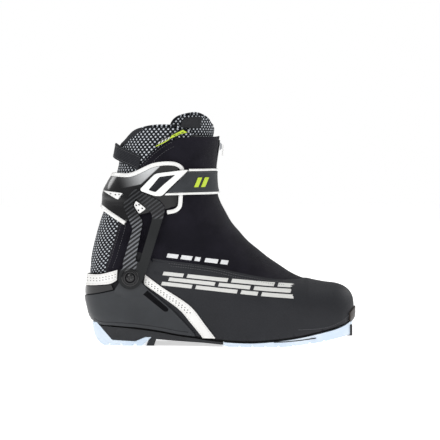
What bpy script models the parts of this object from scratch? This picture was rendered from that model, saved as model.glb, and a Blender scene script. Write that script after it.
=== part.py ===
"""Cross country skate boot, right foot, about size EU 42.5.

+X points to the toe, +Y to the inner (medial) side and +Z up; the sole's lowest face is Z = 0.
The boot is laid out in millimetres in side view, X against Z, and turned into metres by MM.

Every soft or wrapped piece lies on one surface, the skin of the boot. A point of the skin has two
coordinates. Its station runs down the shaft, round a fan at the ankle and out to the toe. Its angle
runs round the section, from 0 at the front or top to pi at the back or bottom; it is negative on the
lateral side. Pieces are patches of the skin at an offset from it, made solid with Solidify.
"""

import math

import bmesh
import bpy
import numpy as np

MM = 0.001
LATERAL, MEDIAL = -1, 1

# The boot's outline in side view: down the shaft's front edge and down its back edge, both to the toe.
FRONT_LINE = [(-1.0, 258), (-1.0, 240), (-1.5, 222), (-5.0, 196), (-5.4, 180), (-3.4, 166), (4.6, 145.4)]
FRONT_LINE += [(18.8, 125.1), (39.2, 104.7), (69.7, 83.4), (90, 72.9), (111.7, 67.6), (126.3, 65.6)]
FRONT_LINE += [(134.5, 63), (140.8, 58.8), (144.9, 53), (146.6, 47), (147.1, 40)]
BACK_LINE = [(-99, 258), (-103.5, 240), (-107.2, 221.7), (-112.2, 195.3), (-117.6, 176), (-124.5, 156)]
BACK_LINE += [(-128.7, 144.4), (-134.8, 125.1), (-140.9, 100.7), (-144, 78.3), (-145.6, 64), (-146, 52)]
BACK_LINE += [(-144.2, 42), (-141, 31), (-134, 22), (-118, 20.6), (-100, 19.4), (-68.2, 15.4)]
BACK_LINE += [(-46.8, 11.4), (-27.6, 9), (-12, 6.6), (12.7, 4.6), (40, 4.4), (76.9, 7.9), (104.9, 13)]
BACK_LINE += [(124.6, 17.2), (136.4, 21), (143, 25), (146.6, 29.5), (147.1, 34)]
HEEL_CORNER_X, HEEL_CORNER_Z = -134.0, 22.0
TOE_X = 147.1

# Half-widths. The foot's are taken at sole level along X, the shaft's along Z.
FOOT_X = [-146, -100, -60, -20, 20, 48, 80, 110, 147]
FOOT_HALF = {
    LATERAL: [33.5, 34, 35.5, 41, 48.5, 51.5, 50, 46.5, 46],
    MEDIAL: [32.5, 33, 33, 36, 43, 46.5, 45.5, 43.5, 43],
}
SHAFT_Z = [90, 130, 180, 256]
SHAFT_HALF = [42.5, 41.5, 43.5, 47]
ANKLE_LOW, ANKLE_HIGH = 38, 112
FRONT_ROUND, BACK_ROUND, TOE_ROUND, SOLE_EDGE = 54, 46, 58, 5
TOE_SHIFT_X = (30, 147)
TOE_SHIFT = 8

# The fan of sections that turns the shaft's level sections into the forefoot's upright ones.
FAN_X, FAN_Z = 48, 128
FAN = 90
SNAP = 0.004

# The cuff turns on this axis, along Y. The soft shaft moves with it beyond ARC from the axis.
HINGE_X, HINGE_Z = -96.8, 75.0
HINGE_EAR = 12.8
ARC = 29.5
FRONT_WEDGE = (26, 46)
BACK_WEDGE = (118, 108)
PANEL, PANEL_GAP = 5.6, 1.4

# Layers, as offsets from the skin.
FABRIC = 1.2
LINER_OUT = -2.8
LINER = 3.4
LACE_DIP = 6.0
PUFF_DIP = 1.8
CUFF_IN, CUFF_THICK = 1.0, 2.2
HEEL_IN, HEEL_THICK = 0.9, 2.2
SHELL_OUT = CUFF_IN + CUFF_THICK

# Stack on each pivot, as distances beyond the boot's half-width at the hinge.
EAR_OUT = 4.6
WASHER = (4.9, 5.5)
ARM = (5.8, 8.2)
CAP = (8.5, 10.1)
SCREW_TOP = 11.0
SHANK, HOLE = 2.8, 3.2

COLOURS = {
    "icy_rubber": ((0.72, 0.80, 0.88), 0.45, 0.0),
    "black_rubber": ((0.03, 0.03, 0.032), 0.7, 0.0),
    "brown_rubber": ((0.07, 0.045, 0.03), 0.6, 0.0),
    "chassis": ((0.03, 0.032, 0.036), 0.5, 0.0),
    "heel_plastic": ((0.046, 0.05, 0.056), 0.4, 0.0),
    "gloss_black": ((0.01, 0.01, 0.012), 0.1, 0.0),
    "carbon": ((0.02, 0.02, 0.022), 0.25, 0.0),
    "white_trim": ((0.86, 0.86, 0.85), 0.35, 0.0),
    "vamp_leather": ((0.028, 0.029, 0.034), 0.55, 0.0),
    "softshell": ((0.016, 0.015, 0.022), 0.85, 0.0),
    "mesh": ((0.03, 0.033, 0.04), 0.8, 0.0),
    "liner": ((0.05, 0.05, 0.055), 0.9, 0.0),
    "webbing": ((0.05, 0.053, 0.058), 0.75, 0.0),
    "steel": ((0.55, 0.56, 0.58), 0.3, 1.0),
    "lime": ((0.68, 0.8, 0.04), 0.5, 0.0),
    "board": ((0.35, 0.32, 0.26), 0.8, 0.0),
    "lace": ((0.08, 0.08, 0.085), 0.7, 0.0),
    "zipper": ((0.02, 0.02, 0.022), 0.4, 0.0),
}


# ---------------------------------------------------------------- scene and objects


def start_scene():
    for obj in list(bpy.data.objects):
        bpy.data.objects.remove(obj)
    folders = {}
    for name in ("skate_boot", "cutters"):
        folders[name] = bpy.data.collections.new(name)
        bpy.context.scene.collection.children.link(folders[name])
    return folders["skate_boot"], folders["cutters"]


PARTS, CUTTERS = start_scene()


def material(name):
    if name in bpy.data.materials:
        return bpy.data.materials[name]
    colour, roughness, metallic = COLOURS[name]
    made = bpy.data.materials.new(name)
    made.use_nodes = True
    shader = made.node_tree.nodes["Principled BSDF"]
    shader.inputs["Base Color"].default_value = (*colour, 1)
    shader.inputs["Roughness"].default_value = roughness
    shader.inputs["Metallic"].default_value = metallic
    return made


def add_object(name, mesh, finish=None):
    """A part where a finish is given, else a cutter."""
    obj = bpy.data.objects.new(name, mesh)
    if finish is None:
        CUTTERS.objects.link(obj)
        obj.hide_render = True
        obj.display_type = "WIRE"
        return obj
    PARTS.objects.link(obj)
    mesh.materials.clear()
    mesh.materials.append(material(finish))
    return obj


def boolean(obj, cutter, operation):
    step = obj.modifiers.new(f"{operation.lower()} {cutter.name}", "BOOLEAN")
    step.operation = operation
    step.object = cutter
    step.solver = "EXACT"
    return obj


def baked(obj):
    """The object's mesh with its modifiers applied; the object is removed."""
    bpy.context.view_layer.update()
    mesh = bpy.data.meshes.new_from_object(obj.evaluated_get(bpy.context.evaluated_depsgraph_get()))
    mesh.transform(obj.matrix_world)
    bpy.data.objects.remove(obj)
    return mesh


# ---------------------------------------------------------------- the skin of the boot


def smooth_line(points, steps=8):
    """A Catmull-Rom line through the points, as an array of X and Z."""
    p = np.array([points[0], *points, points[-1]], float)
    t = (np.arange(steps) / steps)[:, None]
    spans = []
    for a, b, c, d in zip(p, p[1:], p[2:], p[3:]):
        spans.append(b + 0.5 * t * (c - a + t * (2 * a - 5 * b + 4 * c - d + t * (3 * (b - c) + d - a))))
    return np.vstack([*spans, p[-1:]])


def smoothstep(value, low, high):
    t = np.clip((value - low) / (high - low), 0, 1)
    return t * t * (3 - 2 * t)


def rounded(share):
    return np.sqrt(1 - (1 - np.clip(share, 0, 1)) ** 2)


def station_of(x, z):
    angle = np.clip(np.arctan2(FAN_Z - z, FAN_X - x), 0, math.pi / 2)
    forefoot = FAN * math.pi / 2 + x - FAN_X
    return np.where(z >= FAN_Z, FAN_Z - z, np.where(x >= FAN_X, forefoot, FAN * angle))


FRONT = smooth_line(FRONT_LINE)
BACK = smooth_line(BACK_LINE)
FRONT_S = station_of(*FRONT.T)
BACK_S = station_of(*BACK.T)
HEEL_WALL = BACK[(BACK[:, 0] < 0) & (BACK[:, 1] >= HEEL_CORNER_Z)][::-1]
LAST_BOTTOM = BACK[BACK[:, 1] <= 34.1]
LAST_BOTTOM = LAST_BOTTOM[LAST_BOTTOM[:, 0] >= HEEL_CORNER_X]
TOE_STATION = float(FRONT_S[-1])


def front_at(s):
    return np.interp(s, FRONT_S, FRONT[:, 0]), np.interp(s, FRONT_S, FRONT[:, 1])


def back_at(s):
    return np.interp(s, BACK_S, BACK[:, 0]), np.interp(s, BACK_S, BACK[:, 1])


def back_x(z):
    return np.interp(z, HEEL_WALL[:, 1], HEEL_WALL[:, 0])


def bottom_z(x):
    return np.interp(x, LAST_BOTTOM[:, 0], LAST_BOTTOM[:, 1])


def centre_y(x):
    return TOE_SHIFT * smoothstep(x, *TOE_SHIFT_X)


def half_width(x, z, side):
    fx, fz = front_at(station_of(x, z))
    bx, bz = back_at(station_of(x, z))
    foot = np.interp(x, FOOT_X, FOOT_HALF[side])
    shaft = np.interp(z, SHAFT_Z, SHAFT_HALF)
    width = foot + (shaft - foot) * smoothstep(z, ANKLE_LOW, ANKLE_HIGH)
    reach = np.minimum(FRONT_ROUND, 0.8 * np.hypot(bx - fx, bz - fz) + 1e-6)
    width = width * rounded(np.hypot(x - fx, z - fz) / reach)
    width = width * rounded((x - back_x(z)) / BACK_ROUND) * rounded((TOE_X - x) / TOE_ROUND)
    edge = np.clip(1 - (z - bottom_z(x)) / SOLE_EDGE, 0, 1)
    return np.maximum(width - SOLE_EDGE * (1 - np.sqrt(1 - edge * edge)), 0)


def side_view(s, angle):
    """X and Z of a skin point."""
    share = (1 - np.cos(angle)) / 2
    fx, fz = front_at(s)
    bx, bz = back_at(s)
    return fx + share * (bx - fx), fz + share * (bz - fz)


def angle_of(x, z):
    """The unsigned angle of a point given in side view, with points by the outline put on it."""
    s = station_of(x, z)
    fx, fz = front_at(s)
    bx, bz = back_at(s)
    share = ((x - fx) * (bx - fx) + (z - fz) * (bz - fz)) / ((bx - fx) ** 2 + (bz - fz) ** 2)
    share = np.where(share > 1 - SNAP, 1, np.where(share < SNAP, 0, share))
    return np.arccos(1 - 2 * share)


def bare_skin(s, angle):
    angle = (angle + math.pi) % (2 * math.pi) - math.pi
    x, z = side_view(s, np.abs(angle))
    half = np.where(angle < 0, -half_width(x, z, LATERAL), half_width(x, z, MEDIAL))
    half = np.where(np.abs(angle) > math.pi - 1e-6, 0, half)
    return np.stack([x, centre_y(x) + half, z], axis=-1)


def skin(s, angle, offset):
    """Points of the skin moved outwards by offset."""
    s = np.clip(s, FRONT_S[0] + 1, TOE_STATION)
    point = bare_skin(s, angle)
    near = np.minimum(s, TOE_STATION - 0.6)
    along = bare_skin(near + 0.5, angle) - bare_skin(near - 1.5, angle)
    around = bare_skin(near, angle + 0.04) - bare_skin(near, angle - 0.04)
    normal = np.cross(along, around)
    normal /= np.linalg.norm(normal, axis=-1, keepdims=True) + 1e-12
    cx, cz = side_view(s, np.full_like(s, math.pi / 2))
    outwards = point - np.stack([cx, centre_y(cx), cz], axis=-1)
    normal *= np.where((normal * outwards).sum(-1, keepdims=True) < 0, -1, 1)
    normal = np.where((s > TOE_STATION - 0.05)[..., None], (1.0, 0.0, 0.0), normal)
    return point + normal * np.asarray(offset)[..., None]


# ---------------------------------------------------------------- patches of the skin


def solid_patch(name, grids, offset, thickness, finish, floor=None):
    """Grids of (station, angle) laid at an offset, joined where they meet, and thickened inwards.

    offset is a number or a function of X, Z and angle. floor, a function of X, is the lowest Z.
    """
    bm = bmesh.new()
    for s, angle in grids:
        level = offset(*side_view(s, np.abs(angle)), angle) if callable(offset) else np.full(s.shape, offset)
        points = skin(s, angle, level)
        if floor is not None:
            points[..., 2] = np.maximum(points[..., 2], floor(points[..., 0]))
        corners = [[bm.verts.new(p * MM) for p in row] for row in points]
        for lower, upper in zip(corners, corners[1:]):
            for a, b, c, d in zip(lower, lower[1:], upper[1:], upper):
                bm.faces.new((a, b, c, d))
    bmesh.ops.remove_doubles(bm, verts=bm.verts, dist=2e-5)
    bmesh.ops.dissolve_degenerate(bm, edges=bm.edges, dist=1e-5)
    bmesh.ops.recalc_face_normals(bm, faces=bm.faces)
    s, angle = grids[0]
    mid = (s.shape[0] // 2, s.shape[1] // 2)
    way = skin(s[mid], angle[mid], 1.0) - skin(s[mid], angle[mid], 0.0)
    here = skin(s[mid], angle[mid], 0.0) * MM
    centres = np.array([face.calc_center_median() for face in bm.faces])
    bm.faces.ensure_lookup_table()
    nearest = bm.faces[int(np.argmin(np.linalg.norm(centres - here, axis=1)))]
    if np.array(nearest.normal) @ way < 0:
        bmesh.ops.reverse_faces(bm, faces=bm.faces)
    mesh = bpy.data.meshes.new(name)
    bm.to_mesh(mesh)
    bm.free()
    obj = add_object(name, mesh, finish)
    wall = obj.modifiers.new("wall", "SOLIDIFY")
    wall.thickness = thickness * MM
    wall.offset = -1
    wall.use_quality_normals = True
    return obj


def resample(line, count, ease=None):
    """The line cut into count points, evenly along it or at the shares that ease gives."""
    line = np.asarray(line, float)
    run = np.concatenate([[0], np.cumsum(np.hypot(*np.diff(line, axis=0).T))])
    share = np.linspace(0, 1, count) if ease is None else ease
    return np.stack([np.interp(share * run[-1], run, line[:, k]) for k in (0, 1)], axis=1)


def crowded(count, power=1.8):
    """Shares that crowd towards the start of a line, for one that leaves the boot's back."""
    return np.linspace(0, 1, count) ** power


def between(lower, upper, columns, meets="back"):
    """Two half-patches, lateral and medial, between two side-view lines with as many points each.

    They meet at the back along the first points, or in front along the upper line, or not at all.
    """
    share = np.linspace(0, 1, columns)
    share = np.sin(share * math.pi / 2) if meets == "front" else share
    lower, upper = (np.asarray(line, float)[:, None, :] for line in (lower, upper))
    points = lower + (upper - lower) * share[None, :, None]
    s = station_of(points[..., 0], points[..., 1])
    angle = angle_of(points[..., 0], points[..., 1])
    if meets == "back":
        angle[0] = math.pi
    return [(s, -angle), (s, angle)]


def edge_station(angles, above, low=-126.0, high=TOE_STATION - 1.0):
    """For each angle, the station where above(x, z), true up the shaft, stops being true."""
    low = np.full(len(angles), low)
    high = np.full(len(angles), high)
    for _ in range(40):
        mid = (low + high) / 2
        is_above = above(*side_view(mid, np.abs(angles)))
        low = np.where(is_above, mid, low)
        high = np.where(is_above, high, mid)
    return low


def rings(angles, top, bottom, rows):
    """A patch whose columns keep their angle and run from the top edge to the bottom edge."""
    share = np.linspace(0, 1, rows)[:, None]
    s = top[None, :] + share * (bottom - top)[None, :]
    return [(s, np.broadcast_to(angles, s.shape).copy())]


def height_line(points):
    """A function that tells whether a point is above the line through the points, given left to right."""
    xs, zs = np.array(sorted(points)).T
    return lambda x, z: z > np.interp(x, xs, zs)


def polar(radius, degrees):
    """A side-view point at a distance from the hinge, at an angle from +X towards +Z."""
    turn = math.radians(degrees)
    return (HINGE_X + radius * math.cos(turn), HINGE_Z + radius * math.sin(turn))


def hinge_arc(radius, start, end, count=9):
    return [polar(radius, a) for a in np.linspace(start, end, count)]


# ---------------------------------------------------------------- plates, prisms and turned pieces


def spaced(points, step):
    """A closed outline with extra points, so that none is further than step from the next."""
    out = []
    for a, b in zip(points, [*points[1:], points[0]]):
        count = max(1, math.ceil(math.dist(a, b) / step))
        out += [(a[0] + (b[0] - a[0]) * k / count, a[1] + (b[1] - a[1]) * k / count) for k in range(count)]
    return out


def filleted(points, radius, steps=3):
    """A closed outline with its corners rounded."""
    out = []
    for before, corner, after in zip([points[-1], *points], points, [*points[1:], points[0]]):
        b, c, a = (np.array(p, float) for p in (before, corner, after))
        reach = min(radius, 0.45 * math.dist(b, c), 0.45 * math.dist(c, a))
        start = c + (b - c) / np.linalg.norm(b - c) * reach
        end = c + (a - c) / np.linalg.norm(a - c) * reach
        for t in np.linspace(0, 1, steps):
            out.append(tuple((1 - t) ** 2 * start + 2 * t * (1 - t) * c + t * t * end))
    return out


def circle(cx, cz, radius, count=8):
    turns = np.arange(count) * 2 * math.pi / count
    return [(cx + radius * math.cos(a), cz + radius * math.sin(a)) for a in turns]


def filled(name, outlines, place, slice_step=None):
    """A 2D curve filled and extruded, each of whose points is moved to place(u, v, is_far_face).

    It is first cut into strips slice_step wide, so that it can bend.
    """
    curve = bpy.data.curves.new(name, "CURVE")
    curve.dimensions = "2D"
    curve.fill_mode = "BOTH"
    curve.extrude = 1.0
    for outline in outlines:
        spline = curve.splines.new("POLY")
        spline.points.add(len(outline) - 1)
        for point, (u, v) in zip(spline.points, outline):
            point.co = (u, v, 0, 1)
        spline.use_cyclic_u = True
    holder = bpy.data.objects.new(name + "_outline", curve)
    CUTTERS.objects.link(holder)
    mesh = baked(holder)
    bm = bmesh.new()
    bm.from_mesh(mesh)
    bmesh.ops.remove_doubles(bm, verts=bm.verts, dist=1e-4)
    reach = [vert.co.x for vert in bm.verts]
    cuts = [] if slice_step is None else np.arange(min(reach) + slice_step, max(reach) - 0.5, slice_step)
    for u in cuts:
        everything = [*bm.verts, *bm.edges, *bm.faces]
        bmesh.ops.bisect_plane(bm, geom=everything, plane_co=(u, 0, 0), plane_no=(1, 0, 0), dist=1e-4)
    for vert in bm.verts:
        vert.co = [c * MM for c in place(vert.co.x, vert.co.y, vert.co.z > 0)]
    bmesh.ops.recalc_face_normals(bm, faces=bm.faces)
    if bm.calc_volume(signed=True) < 0:
        bmesh.ops.reverse_faces(bm, faces=bm.faces)
    bm.to_mesh(mesh)
    bm.free()
    return mesh


def side_plate(name, outlines, side, inner, outer, finish):
    """A side-view outline extruded along Y between two distances from the mid-plane, functions of X and Z."""

    def place(x, z, is_far):
        reach = outer(x, z) if is_far else inner(x, z)
        return x, float(centre_y(x)) + side * reach, z

    return add_object(name, filled(name, outlines, place), finish)


def wrapped_plate(name, outlines, side, base, low, high, finish):
    """A side-view outline laid on the skin, from base(x, z) + low to base(x, z) + high off it."""

    def place(x, z, is_far):
        offset = base(x, z) + (high if is_far else low)
        return skin(station_of(x, z), side * angle_of(x, z), offset)

    return add_object(name, filled(name, outlines, place, 5.0), finish)


def side_prism(name, outline, low_y, high_y, finish=None):
    """A side-view outline extruded across the boot."""

    def place(x, z, is_far):
        return x, high_y if is_far else low_y, z

    return add_object(name, filled(name, [outline], place), finish)


def plan_prism(name, outline, low_z, high_z, finish=None):
    """A plan-view outline extruded upwards."""

    def place(x, y, is_far):
        return x, y, high_z if is_far else low_z

    return add_object(name, filled(name, [outline], place), finish)


def box(name, low, high, finish=None):
    bm = bmesh.new()
    bmesh.ops.create_cube(bm, size=1)
    low, high = np.array(low, float), np.array(high, float)
    for vert in bm.verts:
        vert.co = (low + (np.array(vert.co) + 0.5) * (high - low)) * MM
    mesh = bpy.data.meshes.new(name)
    bm.to_mesh(mesh)
    bm.free()
    return add_object(name, mesh, finish)


def turned(name, profile, centre, side, finish=None, steps=14):
    """A profile of (radius, distance from the mid-plane), turned about a line along Y through centre."""
    mesh = bpy.data.meshes.new(name)
    edges = [(i, i + 1) for i in range(len(profile) - 1)]
    mesh.from_pydata([(r * MM, 0, h * MM) for r, h in profile], edges, [])
    obj = add_object(name, mesh, finish)
    spin = obj.modifiers.new("turn", "SCREW")
    spin.steps = steps
    spin.render_steps = steps
    spin.use_merge_vertices = True
    spin.merge_threshold = 1e-5
    obj.rotation_euler = (-side * math.pi / 2, 0, 0)
    obj.location = (centre[0] * MM, 0, centre[1] * MM)
    return obj


def tube(name, points, radius, finish, cyclic=False):
    curve = bpy.data.curves.new(name, "CURVE")
    curve.dimensions = "3D"
    curve.bevel_depth = radius * MM
    curve.bevel_resolution = 1
    curve.use_fill_caps = True
    spline = curve.splines.new("POLY")
    spline.points.add(len(points) - 1)
    for point, place in zip(spline.points, points):
        point.co = (*[c * MM for c in place], 1)
    spline.use_cyclic_u = cyclic
    curve.materials.append(material(finish))
    obj = bpy.data.objects.new(name, curve)
    PARTS.objects.link(obj)
    return obj


# ---------------------------------------------------------------- sole

SOLE_HEEL_X = -141.5
GROOVE_Y, GROOVE_HALF, GROOVE_DEEP = 11, 3, 2.6
BAR_X, BAR_Z, BAR_R, BAR_Y, BAR_HALF = 140.0, 13.0, 1.5, 7.0, 15.2
POCKET_HALF = 16.0


def sole_outline(grow):
    """The sole in plan, moved outwards by grow."""
    middle = (SOLE_HEEL_X + TOE_X) / 2
    x = middle - (TOE_X - SOLE_HEEL_X) / 2 * np.cos(np.linspace(0, math.pi, 30))
    ends = rounded((x - SOLE_HEEL_X) / BACK_ROUND) * rounded((TOE_X - x) / TOE_ROUND)
    lateral = np.stack([x, centre_y(x) - np.interp(x, FOOT_X, FOOT_HALF[LATERAL]) * ends], axis=1)
    medial = np.stack([x, centre_y(x) + np.interp(x, FOOT_X, FOOT_HALF[MEDIAL]) * ends], axis=1)
    loop = np.vstack([lateral, medial[-2:0:-1]])
    ahead = np.roll(loop, -1, axis=0) - np.roll(loop, 1, axis=0)
    normal = np.stack([ahead[:, 1], -ahead[:, 0]], axis=1)
    normal /= np.linalg.norm(normal, axis=1, keepdims=True)
    return [tuple(p) for p in loop + normal * grow]


def level_line(start, end, count, lift):
    """Points at a height above the skin's bottom line."""
    return [(x, float(bottom_z(x)) + lift) for x in np.linspace(start, end, count)]


def sole_piece(name, outline, grow, finish):
    """A side-view outline cut to the sole's plan."""
    piece = side_prism(name, outline, -70, 70, finish)
    plan = plan_prism(name + "_plan", sole_outline(grow), -20, 80)
    return boolean(piece, plan, "INTERSECT")


def groove_cutters(name, bottom_line, piece):
    """Two lengthwise guide grooves for the binding's ridges, as deep all along."""
    roof = [(x, z + GROOVE_DEEP) for x, z in bottom_line]
    outline = [(bottom_line[0][0], -5), *roof, (bottom_line[-1][0], -5)]
    for side, label in ((LATERAL, "lateral"), (MEDIAL, "medial")):
        middle = side * GROOVE_Y
        cutter = side_prism(f"{name}_{label}", outline, middle - GROOVE_HALF, middle + GROOVE_HALF)
        boolean(piece, cutter, "DIFFERENCE")


def forefoot_outsole():
    bottom = [(4, 1.6), (9, 0), (66, 0), (77, 0.6), (88, 2), (110.6, 4.7), (126.3, 7.4), (143.7, 10.4)]
    bottom += [(147.3, 13.4)]
    top = level_line(4, 146, 16, -0.3)
    piece = sole_piece("forefoot_outsole", [*bottom, *reversed(top)], -0.4, "icy_rubber")
    groove_cutters("forefoot_groove", [(3, 0), *bottom[1:7], (129, 8)], piece)
    low, high = (130.5, BAR_Y - POCKET_HALF, 0), (152, BAR_Y + POCKET_HALF, 20.9)
    boolean(piece, box("toe_pocket", low, high), "DIFFERENCE")
    for k, x in enumerate((20, 34, 48, 62, 96, 112)):
        rise = float(np.interp(x, *np.array(bottom).T))
        cutter = box(f"forefoot_sipe_{k}", (x, -70, -3), (x + 2.2, 70, rise + 1.2))
        boolean(piece, cutter, "DIFFERENCE")


def heel_outsole():
    outline = [(-141.2, 24.4), (-138.6, 14.6), (-136.0, 7.6), (-131, 2.2), (-126.7, 0), (-84.9, 0)]
    outline += [(-74.4, 9.4), (-81.1, 9.4), (-92.1, 4.9), (-117.3, 6.0), (-134.8, 24.4)]
    piece = sole_piece("heel_outsole", outline, -1.2, "icy_rubber")
    groove_cutters("heel_groove", [(-140, 0), (-82, 0)], piece)
    for k, (start, end) in enumerate(((-109.3, -106.4), (-94.5, -90.9))):
        boolean(piece, box(f"heel_notch_{k}", (start, -70, -3), (end, 70, 2.2)), "DIFFERENCE")


def sole_chassis():
    """The stiff plate inside the upper, with the block under heel and arch that shows outside."""
    lug = [(-83.2, 0.6), (-80, 0.3), (-71.5, 0.3), (-69.4, 7.2)]
    under = [(-130.9, 20.9), (-117.0, 6.6), (-92.2, 5.3), (-81.2, 9.8), (-73.6, 9.8), *lug[1:]]
    under += [(-46.8, 5.6), (-16.9, 3.9), (1, 2.3), (3.6, 2.3)]
    top = level_line(-130.6, 3.4, 14, -0.3)
    block = sole_piece("sole_chassis", [*under, *reversed(top)], -0.8, "chassis")
    upper = level_line(-124, 128.5, 16, 4.0)
    lower = [*level_line(-124, 0, 8, -1.6), *level_line(4.2, 128.5, 9, 0.1)]
    plate = side_prism("chassis_plate", [*lower, *reversed(upper)], -70, 70)
    boolean(plate, plan_prism("chassis_plate_plan", sole_outline(-8), -20, 80), "INTERSECT")
    boolean(block, plate, "UNION")


def toe_binding_pieces():
    """The steel bar that the binding grips, across a pocket in its housing."""
    housing = box("toe_bar_housing", (130.9, BAR_Y - 15.6, 8.8), (145.4, BAR_Y + 15.6, 20.5), "black_rubber")
    boolean(housing, box("housing_pocket", (134.5, BAR_Y - 12.4, 2), (150, BAR_Y + 12.4, 17.6)), "DIFFERENCE")
    bore = turned("housing_bore", [(BAR_R + 0.3, 26), (BAR_R + 0.3, -20)], (BAR_X, BAR_Z), MEDIAL)
    close_profile(bore)
    boolean(housing, bore, "DIFFERENCE")
    left, right = BAR_Y + BAR_HALF, BAR_Y - BAR_HALF
    profile = [(0, left), (BAR_R, left), (BAR_R, right), (0, right)]
    bar = turned("toe_bar", profile, (BAR_X, BAR_Z), MEDIAL, "steel", steps=16)
    bar.data.shade_smooth()


def close_profile(obj):
    """Runs a turned cutter's profile to the axis at both ends, which closes it."""
    mesh = obj.data
    points = [tuple(v.co) for v in mesh.vertices]
    points = [(0, 0, points[0][2]), *points, (0, 0, points[-1][2])]
    mesh.clear_geometry()
    mesh.from_pydata(points, [(i, i + 1) for i in range(len(points) - 1)], [])


def inside_sole():
    board = [*level_line(-124, 130, 16, 4.5), *reversed(level_line(-124, 130, 16, 5.8))]
    sole_piece("insole_board", board, -9, "board")
    foam = [*level_line(-124, 122, 16, 11.2), *reversed(level_line(-124, 122, 16, 14))]
    sole_piece("footbed", foam, -16, "liner")


# ---------------------------------------------------------------- heel

PARTING = level_line(-128, -27, 12, 3.2)
HEEL_LIP = [(-146.2, 53), (-130.8, 56.3), (-113.4, 60.8), (-104, 65), (-84, 65), (-56, 43.2), (-40, 27.5)]
HEEL_LIP += [(-27, 13.6)]
CUP_SLOT = [(-84.5, 62.4), (-80.5, 62.8), (-55.2, 40.6), (-56.4, 37.6), (-60, 37.6), (-85.5, 58.6)]
BAND_TOP = [(-144.3, 76.8), (-130.8, 77.4), (-119.2, 80.3), (-110.4, 83.2)]
BAND_BOTTOM = [(-145.7, 64.2), (-130.8, 66), (-118, 68), (-111.2, 72)]
STRIPE_TOP = [(-81, 78), (-62.6, 64.1), (-40.2, 49.8), (-28, 39.6), (-15.8, 23.4), (-4.8, 9.4)]
STRIPE_LOW = [(-82.4, 67.6), (-62.6, 53.6), (-43.8, 39.6), (-32, 26), (-24, 16.4), (-18.4, 9.8)]


def on_back_line(point):
    """The same height on the boot's back line."""
    return (float(back_x(point[1])), point[1])


def heel_pieces():
    lower = [on_back_line((0, 28.5)), (-135.5, 27.2), *PARTING]
    upper = [on_back_line(HEEL_LIP[0]), *HEEL_LIP[1:]]
    grids = between(resample(lower, 16, crowded(16, 1.4)), resample(upper, 16, crowded(16, 1.4)), 5)
    cup = solid_patch("heel_cup", grids, HEEL_IN + HEEL_THICK, HEEL_THICK, "heel_plastic")
    for side, label in ((LATERAL, "lateral"), (MEDIAL, "medial")):
        boolean(cup, pivot_ear(side, label), "UNION")
        boolean(cup, pivot_hole(f"ear_bore_{label}", side), "DIFFERENCE")
    boolean(cup, side_prism("heel_cup_slot", filleted(CUP_SLOT, 2.5), -80, 80), "DIFFERENCE")
    patch_strip("heel_band", BAND_BOTTOM, BAND_TOP, 8, 2.5, 1.4, "white_trim")
    gloss_low = [(x, z + 1.3) for x, z in HEEL_LIP[:2]] + [(-115, 61.8)]
    gloss_top = [(x, z - 1.0) for x, z in BAND_BOTTOM[:2]] + [(-117, 66.9)]
    patch_strip("heel_gloss_band", gloss_low, gloss_top, 8, 2.7, 1.6, "gloss_black")
    counter_top = [(-144.3, 76), (-130.8, 76.6), (-119.2, 79.4), (-110.4, 82.4), (-100, 86), (-92.8, 86)]
    counter_low = [(-142, 31), *level_line(-131, -92.8, 5, 6.0)]
    patch_strip("heel_counter", counter_low, counter_top, 10, 0.0, FABRIC, "board", 5)


def patch_strip(name, low, top, count, out, thickness, finish, columns=3):
    """A band round the heel between two side-view lines that both start on the back line."""
    low = [on_back_line(low[0]), *low[1:]]
    top = [on_back_line(top[0]), *top[1:]]
    grids = between(resample(low, count, crowded(count)), resample(top, count, crowded(count)), columns)
    return solid_patch(name, grids, out, thickness, finish)


def hinge_plane(side):
    return float(half_width(HINGE_X, HINGE_Z, side))


def pivot_ear(side, label):
    """The heel cup's raised ear: flat round the pivot, and fading into the cup below it."""
    flat = hinge_plane(side) + EAR_OUT

    def outer(x, z):
        away = math.dist((x, z), (HINGE_X, HINGE_Z))
        cup = float(half_width(x, z, side)) + HEEL_IN + HEEL_THICK - 0.5
        return flat + (cup - flat) * float(smoothstep(away, HINGE_EAR + 1, 26))

    arc = [polar(HINGE_EAR, a) for a in np.linspace(-25, 205, 16)]
    outline = spaced([*arc, (-113, 63), (-116, 56), (-110, 50), (-78, 50), (-72, 54.5), (-80, 64)], 7)
    def inner(x, z):
        return float(half_width(x, z, side)) + HEEL_IN + 0.6

    return side_plate(f"pivot_ear_{label}", [outline], side, inner, outer, None)


def pivot_hole(name, side):
    reach = hinge_plane(side)
    cutter = turned(name, [(HOLE, reach + 20), (HOLE, reach - 20)], (HINGE_X, HINGE_Z), side)
    close_profile(cutter)
    return cutter


def side_stripes():
    low, top = resample(STRIPE_LOW, 14), resample(STRIPE_TOP, 14)
    grids = between(low, top, 3, meets="nowhere")
    for grid, label in zip(grids, ("lateral", "medial")):
        solid_patch(f"side_stripe_{label}", [grid], 1.7, 1.1, "white_trim")


# ---------------------------------------------------------------- soft upper on the sole

THROAT = [(96, 71.2), (69.7, 71), (49.3, 74), (18.8, 80.1), (-11.7, 87.3), (-56, 93.0)]
VAMP_BACK_X = -92.0


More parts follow.
